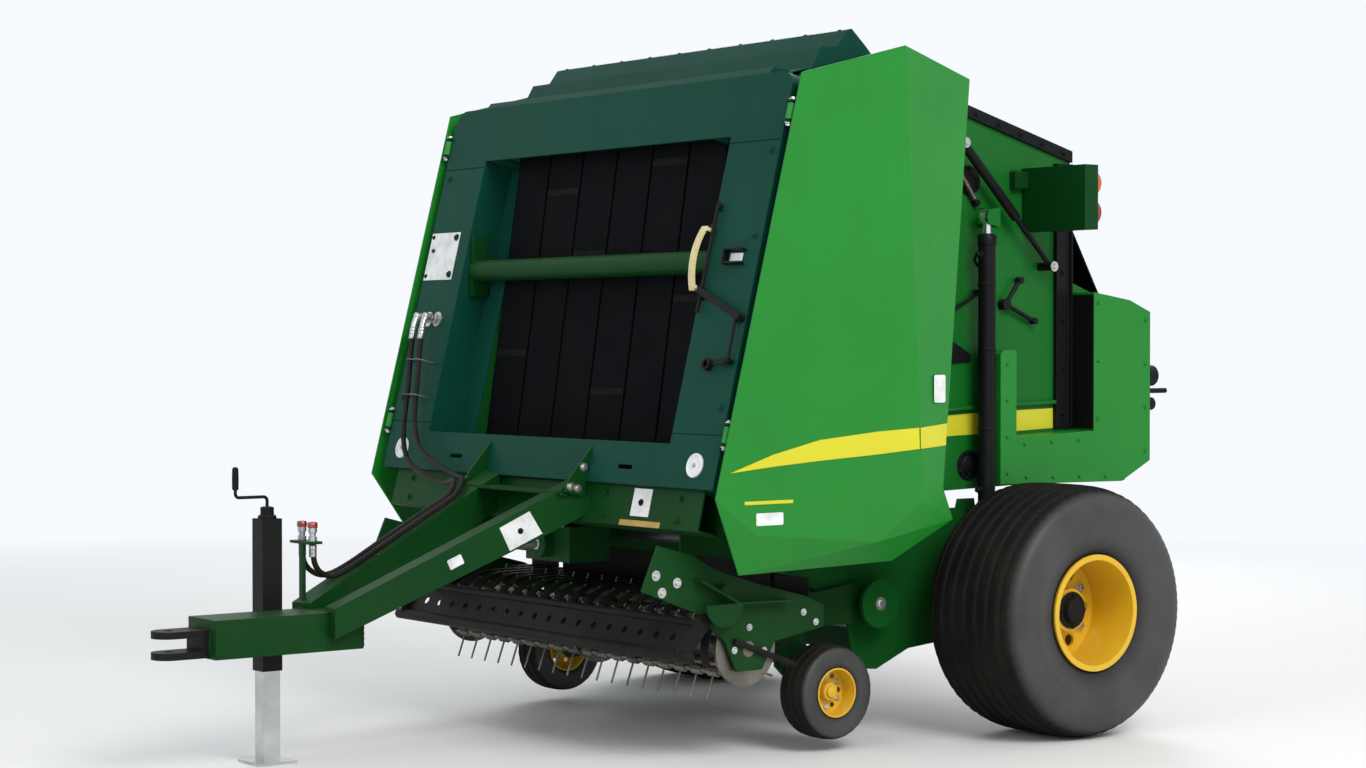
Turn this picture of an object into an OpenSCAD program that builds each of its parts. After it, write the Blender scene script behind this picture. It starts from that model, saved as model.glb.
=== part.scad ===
// Round baler, millimetres. X forward, Y to the machine's left, Z up, floor at Z = 0.
// Side profiles are measured from the wheel axle; place() moves the whole to the middle.

/* [Wheels] */
// main tyre diameter
tyre_d = 990; // [900:10:1100]
// main tyre width
tyre_w = 500; // [400:10:560]
// distance between the main tyres' middles
track = 2220; // [2200:10:2400]
// main rim diameter at the flange
rim_d = 430; // [400:5:470]
// axle spindle diameter
spindle_d = 70; // [60:2:80]
// gauge wheel diameter
gauge_d = 360; // [320:10:380]
// gauge wheel width
gauge_w = 150; // [120:5:160]
// height of a lifted gauge wheel above the floor
gauge_lift = 45; // [30:5:60]

/* [Front frame] */
// width over the posts
frame_w = 2258; // [2200:2:2300]
// height measured along the lean
frame_h = 1561; // [1500:1:1600]
// lean back from upright, degrees
frame_lean = 14.12; // [10:0.01:18]
// front face's lower edge ahead of the axle
frame_x = 1737; // [1700:1:1780]
// front face's lower edge above the floor
frame_z = 1023; // [1000:1:1060]
// depth of the folded frame
frame_t = 140; // [120:5:160]
// opening width
mouth_w = 1658; // [1600:2:1700]
// opening bottom, along the lean
mouth_low = 161; // [140:1:200]
// height of the beam above the opening
top_beam = 235; // [200:1:280]
// radius of the frame's top corners
frame_r = 70; // [40:5:100]
// sheet thickness of the folded parts
sheet = 8; // [5:1:10]

/* [Chamber] */
// from a front side wall's inner face to a rear side cover's outer face
cover_depth = 146; // [140:1:160]
// gap between a front side wall and the gate's side sheet
gate_gap = 8; // [6:1:12]
// number of belts
belt_n = 6; // [5:1:8]
// gap between the outer belts and the side walls
belt_edge = 5.5; // [4:0.5:12]
// gap between belts
belt_gap = 13; // [8:1:20]
// belt thickness
belt_t = 8; // [6:1:12]
// clearance between a belt and its roller
belt_clear = 0.3; // [0.2:0.1:0.6]

/* [Gate] */
// gate hinge ahead of the axle
hinge_x = 420; // [400:5:440]
// gate hinge above the floor
hinge_z = 2340; // [2300:5:2360]
// gate hinge pin diameter
hinge_d = 50; // [40:2:60]
// gap between a main tyre and a rear side cover
tyre_clear = 10; // [8:1:20]
// lift cylinder barrel diameter
barrel_d = 70; // [60:2:76]
// lift cylinder rod diameter
rod_d = 36; // [30:2:44]

/* [Shields] */
// how far a side shield stands out past the frame's post
shield_out = 53; // [48:1:60]
// shield sheet thickness
shield_t = 5; // [4:1:8]

/* [Pickup] */
// pickup pivot ahead of the axle
pivot_x = 660; // [640:5:680]
// pickup pivot above the floor
pivot_z = 530; // [500:5:560]
// reel shaft ahead of the axle
reel_x = 1420; // [1400:5:1440]
// reel shaft above the floor
reel_z = 420; // [400:5:440]
// gap between the reel's end plate and the outside of the frame's post
reel_inset = 194; // [180:2:220]
// radius of the tine tips
tine_r = 225; // [210:5:240]
// radius of the tine bars' circle
bar_r = 120; // [100:5:130]
// outer radius of the stripper bands
band_r = 172; // [165:1:180]
// number of stripper bands
band_n = 19; // [15:1:25]

/* [Drawbar] */
// hitch pin hole ahead of the axle
hitch_x = 3290; // [3200:10:3400]
// hitch pin hole's height above the floor
hitch_z = 480; // [440:5:520]
// hitch pin hole diameter
hitch_d = 33; // [31:0.5:36]
// input shaft diameter
shaft_d = 34.9; // [34:0.1:36]
// jack behind the hitch pin hole
jack_back = 510; // [480:5:560]
// jack tube outer width
jack_w = 80; // [70:2:90]

/* [Hidden] */

$fn = 48;
run_fit = 0.05;
slide_fit = 0.3;
green = [0.10, 0.50, 0.17];
dark_green = [0.07, 0.30, 0.24];
yellow = [0.90, 0.78, 0.10];
rim_yellow = [0.86, 0.66, 0.08];
black = [0.05, 0.05, 0.06];
rubber = [0.14, 0.14, 0.15];
steel = [0.62, 0.63, 0.65];
white = [0.88, 0.88, 0.86];
amber = [0.95, 0.50, 0.08];
cream = [0.80, 0.74, 0.52];
red = [0.75, 0.08, 0.06];

rear_reach = 1040;
eye_r = 62;
x_shift = -(hitch_x + eye_r - rear_reach) / 2;
beam_h = 150;
gearbox_z = 765;
jack_x = hitch_x - jack_back;
mouth_high = frame_h - top_beam;
shield_y = frame_w / 2 + shield_out;
reel_y = frame_w / 2 - reel_inset;
rail_y = frame_w / 2 - 179;
cover_y = (track - tyre_w) / 2 - tyre_clear;
wall_y = cover_y - cover_depth;
belt_w = (2 * (wall_y - belt_edge) - (belt_n - 1) * belt_gap) / belt_n;
axle_z = tyre_d / 2;
gauge_x = 1000;
gauge_z = gauge_d / 2 + gauge_lift;
gauge_y = reel_y - 50;
gauge_arm_y = gauge_y - gauge_w / 2 - 35;
pivot_end = wall_y + 96;
gauge_rim_d = 180;
HOLDER = [hitch_x - 640, -150, 800];
gate_y = wall_y + sheet + gate_gap;
barrel_y = cover_y - barrel_d / 2 - 2;
barrel_low = [88, 870];
barrel_top = [88, 2050];
barrel_len = 1100;
hinge_y = (frame_w / 2 + shield_y) / 2 - 5;
hinge_pin_d = 16;
eye_w = 30;
ear_gap = 8;

// side-view point of the leaning frame, out from its face and up along it
function frame_point(out, up) = [
  frame_x + out * cos(frame_lean) - up * sin(frame_lean),
  frame_z + out * sin(frame_lean) + up * cos(frame_lean)
];

// rear top corner of the frame, which carries the hood
hood = frame_point(-frame_t, frame_h);

// rollers as x, z, radius; each loop runs clockwise seen from the right
FRONT_LOOP = [[hood[0] + 30, hood[1] - 143, 60], [1420, 1120, 75], [1180, 900, 60],
              [hood[0] - 420, hood[1] - 143, 60]];
GATE_LOOP = [[110, 2200, 60], [110, 1050, 60], [-640, 1090, 60], [-760, 1480, 60], [-370, 2130, 60]];

module place() {
  translate([x_shift, 0, 0]) children();
}

module pair() {
  children();
  mirror([0, 1, 0]) children();
}

// polygon of side-view points, thickness t outward from y
module plate(points, y, t) {
  translate([0, y + t, 0]) rotate([90, 0, 0]) linear_extrude(t) polygon(points);
}

// round bar along Y from y0 to y1
module bar(x, z, d, y0, y1) {
  translate([x, y1, z]) rotate([90, 0, 0]) cylinder(h = y1 - y0, d = d);
}

// round bar between two points
module rod_between(a, b, d) {
  v = b - a;
  len = norm(v);
  translate(a) rotate([0, acos(v[2] / len), atan2(v[1], v[0])]) cylinder(h = len, d = d);
}

// leaning frame's own axes: X out of the face, Z up along it
module on_frame() {
  translate([frame_x, 0, frame_z]) rotate([0, -frame_lean, 0]) children();
}

// 2D shape of the frame's face, drawn as Y and height, standing out by t from x
module face(x, t) {
  translate([x, 0, 0]) rotate([90, 0, 90]) linear_extrude(t) children();
}

module round_top(w, h, r) {
  translate([-w / 2, 0]) square([w, h - r]);
  translate([-w / 2 + r, 0]) square([w - 2 * r, h]);
  for (s = [-1, 1]) translate([s * (w / 2 - r), h - r]) circle(r = r);
}

// flat sheet through corner points, as one thin slab
module panel(points, t) {
  hull() for (p = points) translate(p) cube(t, center = true);
}

// corner b moved by t to the left of the way a, b, c, mitred
function mitre(a, b, c, t) =
  let (p = (b - a) / norm(b - a), q = (c - b) / norm(c - b))
  b + [-p[1] - q[1], p[0] + q[0]] * t / (1 + p * q);

// closed outline moved in by t
function inset(points, t) =
  let (n = len(points))
  [for (i = [0 : n - 1]) mitre(points[(i + n - 1) % n], points[i], points[(i + 1) % n], t)];

// outline of a folded sheet of thickness t along an open line of points
function folded(points, t) =
  let (n = len(points), ends = concat([2 * points[0] - points[1]], points, [2 * points[n - 1] - points[n - 2]]))
  concat(points, [for (i = [n - 1 : -1 : 0]) mitre(ends[i], points[i], ends[i + 2], t)]);

// unit normal of the outer tangent from circle a to circle b
function tangent(a, b) =
  let (d = [b[0] - a[0], b[1] - a[1]], len = norm(d), u = d / len,
       s = (a[2] - b[2]) / len, w = [-u[1], u[0]])
  s * u + sqrt(1 - s * s) * w;

function spot(c, n, r) = [c[0] + n[0] * r, c[1] + n[1] * r];

// side-view area inside a line that runs round a table of rollers, out from their surface
module loop_area(rollers, out) {
  count = len(rollers);
  polygon([for (i = [0 : count - 1])
    let (a = rollers[i], b = rollers[(i + 1) % count], n = tangent(a, b))
    each [spot(a, n, a[2] + out), spot(b, n, b[2] + out)]]);
  for (r = rollers) translate([r[0], r[1]]) circle(r = r[2] + out);
}

// closed belt of thickness t round a table of rollers, as a side-view outline
module belt_outline(rollers, t) {
  difference() {
    loop_area(rollers, belt_clear + t);
    loop_area(rollers, belt_clear);
  }
}

module belts(rollers) {
  pitch = belt_w + belt_gap;
  for (i = [0 : belt_n - 1]) {
    y = (i - (belt_n - 1) / 2) * pitch;
    translate([0, y + belt_w / 2, 0]) rotate([90, 0, 0]) linear_extrude(belt_w)
      belt_outline(rollers, belt_t);
  }
}

module front_frame() {
  color(dark_green) place() on_frame() difference() {
    union() {
      difference() {
        face(-frame_t, frame_t) round_top(frame_w, frame_h, frame_r);
        face(-frame_t - 1, frame_t - sheet + 1) translate([0, sheet])
          round_top(frame_w - 2 * sheet, frame_h - 2 * sheet, frame_r - sheet);
      }
      face(-frame_t, frame_t) mouth(2 * sheet);
      face(-frame_t - sheet, sheet) liner();
      pair() for (v = HINGE_HEIGHTS) hinge_bracket(v);
    }
    face(-frame_t, frame_t + 4) mouth(0);
    translate([-frame_t - sheet - 1, -wall_y - sheet, mouth_high - 1])
      cube([frame_t, 2 * (wall_y + sheet), 2 * sheet + 2]);
    for (s = [-1, 1], z = [mouth_low + 35, mouth_high - 30])
      translate([-3, s * (frame_w + mouth_w) / 4 - (frame_w - mouth_w) / 4 - 1, z])
        cube([6, (frame_w - mouth_w) / 2 + 2, 5]);
    for (s = [-1, 1]) translate([-20, s * 582 - 45, 57]) cube([40, 90, 16]);
  }
}

HINGE_HEIGHTS = [200, frame_h - 161];

// open U of strip steel on the left post
module post_bracket() {
  translate([0, frame_w / 2 - 181, 831]) difference() {
    cube([26, 106, 58]);
    translate([-1, 7, 7]) cube([28, 100, 44]);
  }
}

// two lugs and a pin that carry one knuckle of a side shield
module hinge_bracket(v) {
  for (z = [v - 44, v + 36]) translate([-40, frame_w / 2 - 1, z]) cube([54, hinge_y + 13 - frame_w / 2, 8]);
  translate([0, hinge_y, v - 44]) cylinder(h = 88, d = hinge_pin_d);
}

// flanges that close the gap between the opening and the belts' side walls
module liner() {
  difference() {
    mouth(2 * sheet);
    translate([-wall_y, mouth_low]) square([2 * wall_y, mouth_high - mouth_low]);
  }
}

module mouth(rim) {
  translate([-mouth_w / 2 - rim, mouth_low - rim]) square([mouth_w + 2 * rim, mouth_high - mouth_low + 2 * rim]);
}

// steps of the hood from front to rear, measured from the frame's rear top corner
HOOD = [
  for (p = [[10, 49], [-90, 72], [-135, 150], [-215, 158], [-262, 222], [-285, 228], [-357, 165], [-440, 82]]) hood + p
];

module top_rails() {
  color(dark_green) place() {
    plate(folded(HOOD, 6), -rail_y, 2 * rail_y);
    on_frame()
      plate([[-170, frame_h], [-20, frame_h], [-40, frame_h + 38], [-110, frame_h + 48], [-170, frame_h + 30]],
            -rail_y, 2 * rail_y);
    front = [frame_point(-frame_t, frame_h - 71), frame_point(-frame_t, frame_h + 30)];
    steps = [for (i = [1 : len(HOOD) - 1]) HOOD[i]];
    pair() plate(concat(front, steps, [hood + [-520, 57], hood + [-120, -73]]), rail_y, sheet);
  }
}

WALL = [[1560, 880], frame_point(-frame_t - sheet, 10), frame_point(-frame_t - sheet, frame_h - 21), hood + [-600, 57],
        [hinge_x + 60, hinge_z + 80], [hinge_x - 50, hinge_z + 80], [hinge_x - 90, hinge_z - 40], [250, 2200],
        [250, 880], [160, 880], [150, 915], [60, 915], [40, 800], [-130, 760], [-130, 380], [420, 330],
        [590, 260], [700, 270], [760, 520], [1000, 640], [1250, 740], [1560, 760]];

module side_walls() {
  color(green) place() pair() difference() {
    union() {
      plate(WALL, wall_y, sheet);
      bar(hinge_x, hinge_z, hinge_d, wall_y + sheet, gate_y + 2 * sheet + 14);
      bar(barrel_low[0], barrel_low[1], 30, wall_y + sheet, barrel_y + 30);
      bar(pivot_x, pivot_z, 60, wall_y + sheet, pivot_end);
      bar(pivot_x, pivot_z, 190, pivot_end, pivot_end + 18);
    }
    bar(1160, 1640, 300, wall_y - 1, wall_y + sheet + 1);
  }
}

module axle() {
  color(dark_green) place() {
    translate([-60, -wall_y, 400]) cube([120, 2 * wall_y, 120]);
    translate([560, -wall_y, 330]) cube([90, 2 * wall_y, 90]);
    pair() {
      bar(0, axle_z, spindle_d, wall_y + sheet, track / 2 + tyre_w * 0.16 - 2);
      bar(0, axle_z, spindle_d + 50, wall_y + sheet, track / 2 - 150);
      plate([[-120, 390], [120, 390], [110, 600], [-110, 600]], wall_y + sheet, 20);
    }
  }
}

module front_rollers() {
  color(steel) place() for (r = FRONT_LOOP) {
    bar(r[0], r[1], 2 * r[2], -wall_y + 4, wall_y - 4);
    bar(r[0], r[1], 40, -wall_y, wall_y);
  }
  color(steel) place() {
    bar(760, 800, 200, -wall_y + 4, wall_y - 4);
    bar(760, 800, 50, -wall_y, wall_y);
  }
}

module front_belts() {
  color(black) place() belts(FRONT_LOOP);
}

module guide_tube() {
  color(green) place() {
    bar(1462, 1845, 88, -mouth_w / 2, mouth_w / 2);
    pair() plate([[1420, 1740], [1500, 1740], [1490, 1985], [1420, 1990]], mouth_w / 2 - 24, 20);
  }
}

// curved strip that stands out at the left edge of the opening
module guide_shoe() {
  y = mouth_w / 2 - 29;
  color(cream) place() on_frame() {
    intersection() {
      difference() {
        translate([-245, y + 32, 852]) rotate([90, 0, 0]) cylinder(h = 32, r = 301, $fn = 96);
        translate([-245, y + 33, 852]) rotate([90, 0, 0]) cylinder(h = 34, r = 293, $fn = 96);
      }
      translate([15, y, 730]) cube([50, 32, 245]);
    }
    for (v = [736, 957]) translate([0, y + 31, v]) cube([34, 14, 12]);
    for (v = [736, 957]) translate([20, y + 4, v]) cube([12, 28, 12]);
  }
}

// rod along the left post, its lever and the catch at the lever's end
module guide_lever() {
  edge = mouth_w / 2;
  color(black) place() on_frame() {
    translate([16, edge + 26, 650]) cylinder(h = 421, d = 14);
    for (v = [700, 1040]) translate([0, edge + 16, v]) cube([16, 20, 22]);
    face(24, 8) polygon([[edge + 18, 748], [edge + 18, 722], [edge + 292, 614], [edge + 300, 638]]);
    for (p = [[edge + 283, 628, 24], [edge + 268, 468, 20]])
      translate([0, p[0], p[1]]) rotate([0, 90, 0]) cylinder(h = 36, d = p[2]);
    translate([28, edge + 276, 462]) cylinder(h = 160, d = 12);
    face(20, 8) polygon([[edge + 195, 450], [edge + 280, 456], [edge + 280, 480], [edge + 200, 470]]);
    post_bracket();
    face(0, 22) translate([frame_w / 2 - 158, 456]) difference() {
      circle(d = 44);
      circle(d = 26);
    }
  }
}

module drawbar() {
  side = frame_w / 2 - 79;
  color(dark_green) place() {
    on_frame() difference() {
      translate([-frame_t, -side, -beam_h]) cube([110, 2 * side, beam_h]);
      translate([sheet - frame_t, -side - 1, sheet - beam_h])
        cube([110 - 2 * sheet, 2 * side + 2, beam_h - 2 * sheet]);
    }
    difference() {
      pair() {
        arm();
        plate([frame_point(0, 136), frame_point(-1, -60), frame_point(80, -60), frame_point(76, -8)], 340, 12);
      }
      on_frame() translate([-2 * frame_t, -side, 0]) cube([2 * frame_t, 2 * side, frame_h]);
    }
    translate([1720, -330, 975]) cube([130, 660, 10]);
    translate([hitch_x - 730, -105, hitch_z - 55]) cube([600, 210, 140]);
    hose_holder();
  }
}

// rear and front end of an arm's middle line, and its height at both ends
ARM_REAR = [1690, 300, 985];
ARM_FRONT = [hitch_x - 590, 110, hitch_z + 48];
ARM_HEIGHTS = [148, 112];

// one side of the A shaped drawbar
module arm() {
  v = ARM_FRONT - ARM_REAR;
  len = norm([v[0], v[1]]);
  translate(ARM_REAR) rotate([0, 0, atan2(v[1], v[0])])
    plate([[-10, -ARM_HEIGHTS[0] / 2], [len, v[2] - ARM_HEIGHTS[1] / 2], [len, v[2] + ARM_HEIGHTS[1] / 2],
           [-10, ARM_HEIGHTS[0] / 2]], -50, 100);
}

// post on the right arm with a plate under the hose ends
module hose_holder() {
  translate([HOLDER[0] + 20, HOLDER[1] - 5, hitch_z + 84]) cube([12, 30, HOLDER[2] - hitch_z - 84]);
  translate([HOLDER[0] - 25, HOLDER[1] - 70, HOLDER[2]]) cube([60, 140, 10]);
}

module hitch() {
  color(black) place() difference() {
    union() {
      translate([3160, -60, hitch_z - 50]) cube([30, 120, 100]);
      for (z = [hitch_z - 50, hitch_z + 25]) {
        translate([3160, -eye_r, z]) cube([hitch_x - 3160, 2 * eye_r, 25]);
        translate([hitch_x, 0, z]) cylinder(h = 25, r = eye_r);
      }
    }
    translate([hitch_x, 0, hitch_z - 60]) cylinder(h = 120, d = hitch_d);
  }
}

module gearbox() {
  color(dark_green) place() difference() {
    union() {
      translate([1480, -150, gearbox_z - 70]) cube([190, 300, 140]);
      bar(1560, gearbox_z, 110, -wall_y, -150);
      translate([1660, 0, gearbox_z]) rotate([0, 90, 0]) cylinder(h = 60, d = 110);
    }
    translate([1600, 0, gearbox_z]) rotate([0, 90, 0]) cylinder(h = 140, d = shaft_d + 10 + 2 * run_fit);
  }
}

module input_shaft() {
  color(steel) place() translate([1602, 0, gearbox_z]) rotate([0, 90, 0]) {
    cylinder(h = 123, d = shaft_d + 10);
    cylinder(h = 233, d = shaft_d);
  }
}

module front_plates() {
  color(white) place() {
    on_frame() {
      for (s = [-1, 1]) translate([0, s * (frame_w / 2 - 125), 85]) rotate([0, 90, 0]) cylinder(h = 6, d = 90);
      translate([0, -frame_w / 2 + 8, 812]) cube([3, 216, 206]);
      translate([-30, 635, -112]) cube([3, 110, 104]);
    }
    v = ARM_FRONT - ARM_REAR;
    translate(ARM_REAR) rotate([0, 0, atan2(v[1], v[0])])
      plate([[211, -155], [343, -216], [385, -129], [264, -70]], 50, 3);
  }
}

// hoses from the right post down to the tongue, each a tube swept along rounded points
HOSE_D = 22;
HOSE_PITCH = 34;
function hose_points(k) = let (s = k * HOSE_PITCH) [
  post_point(1, -1010 + s, 640), post_point(60, -1008 + s, 636), post_point(70, -1000 + s, 560),
  post_point(56, -970 + s, 330), post_point(52, -930 + s, 120 + 0.8 * s), post_point(62, -800 + s, 0.8 * s),
  [1815, -520 + s, 985 + 0.5 * s], [1880 - 0.3 * s, -350 + s / 2, 1004], arm_point(0.26, k), arm_point(0.44, k),
  arm_point(0.62, k), arm_point(0.77, k), hose_end(-95, k, 28, 676), hose_end(-40, k, 34, 690),
  hose_end(-8, k, 40, 730), hose_end(0, k, 40, 799.4)
];

// place of hose k near the holder, the hoses spread apart
function hose_end(back, k, spread, z) = [HOLDER[0] + back, HOLDER[1] + (k - 1) * spread, z];

function post_point(out, y, up) = let (p = frame_point(out, up)) [p[0], y, p[1]];

// place of hose k above the right arm, a share of the way to its front end
function arm_point(share, k) =
  let (p = ARM_REAR + share * (ARM_FRONT - ARM_REAR))
  [p[0], -p[1] + (k - 1) * (HOSE_D + 2), p[2] + ARM_HEIGHTS[0] / 2 - share * (ARM_HEIGHTS[0] - ARM_HEIGHTS[1]) / 2
    + HOSE_D / 2 + 3];

// smooth curve through points, n steps a stretch
function curve(points, n) =
  let (last = len(points) - 1)
  concat([for (i = [0 : last - 1], j = [0 : n - 1])
    let (a = points[max(i - 1, 0)], b = points[i], c = points[i + 1], d = points[min(i + 2, last)], t = j / n)
    b + (c - a) * t / 2 + (2 * a - 5 * b + 4 * c - d) * t * t / 2 + (3 * b - a - 3 * c + d) * t * t * t / 2],
    [points[last]]);

module swept(points, d, sides) {
  last = len(points) - 1;
  rings = [for (i = [0 : last])
    let (way = points[min(i + 1, last)] - points[max(i - 1, 0)], f = way / norm(way),
         side = cross(f, [-0.5, 0.6, 0.62]), u = side / norm(side), w = cross(f, u))
    for (j = [0 : sides - 1]) points[i] + (u * cos(360 * j / sides) + w * sin(360 * j / sides)) * d / 2];
  polyhedron(rings, concat(
    [[for (j = [0 : sides - 1]) j]], [[for (j = [sides - 1 : -1 : 0]) last * sides + j]],
    [for (i = [0 : last - 1], j = [0 : sides - 1], h = [0, 1])
      let (k = (j + 1) % sides, a = i * sides + j, c = (i + 1) * sides + k)
      h == 0 ? [a, (i + 1) * sides + j, c] : [a, c, i * sides + k]]));
}

module hoses() {
  color(black) place() for (k = [0, 1]) swept(curve(hose_points(2 * k), 3), HOSE_D, 8);
}

// toothed wheels as x, z, radius, with the chain round them clockwise
SPROCKETS = [[1420, 1120, 75], [1560, gearbox_z, 60], [760, 800, 90]];

module chain_drive() {
  y = -wall_y - sheet - 30;
  color(steel) place() {
    for (s = SPROCKETS) {
      teeth = round(s[2] / 3);
      translate([s[0], y + 7, s[1]]) rotate([90, 0, 0]) linear_extrude(8)
        polygon([for (i = [0 : 4 * teeth - 1]) let (r = s[2] + (i % 4 < 2 ? 3 : -8), a = 90 * i / teeth)
          [r * cos(a), r * sin(a)]]);
      bar(s[0], s[1], 50, y - 8, -wall_y - sheet);
    }
    translate([0, y + 12, 0]) rotate([90, 0, 0]) linear_extrude(18) belt_outline(SPROCKETS, 12);
  }
}

module jack_tube() {
  color(black) place() difference() {
    union() {
      translate([jack_x, -105 - jack_w, 340]) cube([jack_w, jack_w, 560]);
      translate([jack_x + jack_w / 2, -105 - jack_w / 2, 900]) cylinder(h = 40, d = 50);
    }
    translate([jack_x + 6, -105 - jack_w + 6, 339]) cube([jack_w - 12, jack_w - 12, 545]);
  }
}

module jack_leg() {
  w = jack_w - 12 - 2 * slide_fit;
  color(steel) place() {
    translate([jack_x + 6 + slide_fit, -105 - jack_w + 6 + slide_fit, 0]) cube([w, w, 560]);
    translate([jack_x - 40, -105 - jack_w - 40, 0]) cube([jack_w + 80, jack_w + 80, 10]);
  }
}

module shield() {
  on_frame() for (v = HINGE_HEIGHTS) difference() {
    union() {
      translate([0, hinge_y, v - 30]) cylinder(h = 60, d = hinge_pin_d + 14);
      translate([-60, hinge_y + 8, v - 30]) cube([60, shield_y - 2 - hinge_y - 8, 60]);
    }
    translate([0, hinge_y, v - 31]) cylinder(h = 62, d = hinge_pin_d + 2 * run_fit);
  }
  y = shield_y - shield_t / 2;
  top = frame_point(4, frame_h - 19);
  front_top = [top[0], y, top[1]];
  ridge_top = [top[0] - 498, y, top[1] + 130];
  rear_top = [top[0] - 920, y - 100, top[1] + 38];
  ridge_low = [778, y, 956];
  notch = [643, y - 33, 994];
  rear_low = [581, y - 47, 875];
  crease_r = [999, y, 812];
  crease_f = [1573, y, 860];
  front_low = [1760, y, 993];
  low_f = [1600, y - 70, 715];
  low_r = [860, y - 80, 730];
  panel([front_top, ridge_top, ridge_low, crease_r, crease_f, front_low], shield_t);
  panel([ridge_top, rear_top, notch, ridge_low], shield_t);
  panel([ridge_low, notch, rear_low], shield_t);
  panel([ridge_low, crease_r, low_r, rear_low], shield_t);
  panel([crease_r, crease_f, low_f, low_r], shield_t);
  panel([crease_f, front_low, low_f], shield_t);
}

module shield_stripe() {
  plate([[1700, 1084], [1500, 1146], [1284, 1193], [1000, 1218], [795, 1228], [792, 1148], [1000, 1133], [1284, 1117],
         [1500, 1102]], shield_y, 2);
  y = shield_y - shield_t / 2 + 5.2;
  panel([[787, y, 1149], [789, y, 1227], [616, y - 42, 1239], [624, y - 40, 1157]], 2);
}

module shield_left() {
  color(green) place() shield();
}

module shield_right() {
  color(green) place() mirror([0, 1, 0]) shield();
}

module stripe_left() {
  color(yellow) place() shield_stripe();
}

module stripe_right() {
  color(yellow) place() mirror([0, 1, 0]) shield_stripe();
}

END_PLATE = [[1840, 820], [1690, 780], [1580, 720], [1370, 655], [1150, 600], [1060, 560], [1060, 480], [1300, 440],
             [1360, 340], [1480, 340], [1530, 450], [1650, 560], [1911, 659]];
ARM = [[pivot_x - 70, pivot_z + 70], [pivot_x + 80, pivot_z + 80], [1080, 567], [1165, 550], [1165, 500],
       [1100, 460], [pivot_x + 60, pivot_z - 80], [pivot_x - 70, pivot_z - 70]];
GAUGE_ARM = [[1140, 560], [1070, 560], [965, 250], [965, 195], [1030, 195], [1165, 320], [1165, 355]];

module pickup_frame() {
  color(green) place() {
    bar(1110, 530, 76, -reel_y, reel_y);
    pair() {
      difference() {
        plate(END_PLATE, reel_y, 10);
        bar(reel_x, reel_z, 60 + 2 * run_fit, reel_y - 1, reel_y + 11);
      }
      difference() {
        plate(ARM, wall_y + sheet + 20, 16);
        bar(pivot_x, pivot_z, 60 + 2 * run_fit, wall_y, pivot_end);
      }
      plate(GAUGE_ARM, gauge_arm_y, 14);
      bar(gauge_x, gauge_z, 30, gauge_arm_y, gauge_y + gauge_w * 0.16 - 2);
      plate([[1675, 692], [1500, 600], [1250, 596], [1250, 588], [1502, 592], [1675, 682]], reel_y + 10, 50);
      bar(1546, 640, 50, reel_y + 10, reel_y + 38);
      difference() {
        bar(1572, 598, 170, reel_y + 54, reel_y + 60);
        translate([1400, reel_y + 50, 598]) cube([300, 20, 120]);
      }
    }
  }
}

// one curved stripper band, as a side-view outline
module band_outline() {
  difference() {
    union() {
      translate([reel_x, reel_z]) circle(r = band_r);
      translate([1110, reel_z + 100]) square([reel_x - 1110, band_r - 100]);
    }
    translate([reel_x, reel_z]) circle(r = band_r - 5);
    translate([1110, reel_z - 200]) square([reel_x - 1110, 200 + band_r - 5]);
    translate([reel_x - 400, reel_z - 400]) square([400, 500]);
    translate([reel_x - 200, reel_z - 400]) square([400, 340]);
  }
}

module strippers() {
  pitch = 2 * (reel_y - 40) / (band_n - 1);
  color(black) place() {
    for (i = [0 : band_n - 1]) {
      y = -reel_y + 40 + i * pitch;
      translate([0, y + 22, 0]) rotate([90, 0, 0]) linear_extrude(44) band_outline();
    }
    translate([1110, -reel_y, 568]) cube([40, 2 * reel_y, reel_z + band_r - 573]);
    translate([1112, 14 - wall_y, 580]) cube([6, 2 * (wall_y - 14), 120]);
  }
}

module windguard() {
  pitch = 2 * (reel_y - 40) / (band_n - 1);
  color(black) place() {
    translate([1737, 0, 412]) rotate([0, -atan2(118, -77), 0]) difference() {
      translate([0, -reel_y + 5, -2]) cube([141, 2 * reel_y - 10, 4]);
      for (i = [0 : band_n - 2]) translate([75, -reel_y + 40 + (i + 0.5) * pitch, -3]) cylinder(h = 6, d = 30);
    }
    bar(1737, 412, 42, -reel_y - 65, reel_y + 65);
    bar(1660, 530, 30, -reel_y - 10, reel_y + 10);
    pair() {
      plate([[1757, 400], [1757, 440], [1650, 560], [1600, 560], [1600, 530], [1717, 400]], reel_y + 10, 12);
      rod_between([1500, reel_y + 22, 455], [1215, reel_y + 22, 350], 22);
      translate([1215, reel_y + 22, 350]) sphere(d = 26);
      rod_between([1215, reel_y + 22, 350], [1150, gauge_arm_y + 18.2, 335], 22);
    }
  }
}

module pickup_reel() {
  color(steel) place() {
    bar(reel_x, reel_z, 60, -reel_y - 8, reel_y + 8);
    for (y = [-reel_y + 12, -6, reel_y - 24]) bar(reel_x, reel_z, 2 * bar_r + 40, y, y + 12);
    for (k = [0 : 3]) {
      a = 45 + 90 * k;
      bx = reel_x + bar_r * cos(a);
      bz = reel_z + bar_r * sin(a);
      bar(bx, bz, 26, -reel_y + 12, reel_y - 12);
      pitch = 2 * (reel_y - 40) / (band_n - 1);
      for (i = [0 : band_n - 2]) {
        y = -reel_y + 40 + (i + 0.5) * pitch;
        rod_between([bx, y, bz], [reel_x + tine_r * cos(a - 12), y, reel_z + tine_r * sin(a - 12)], 8);
      }
    }
  }
}

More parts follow.
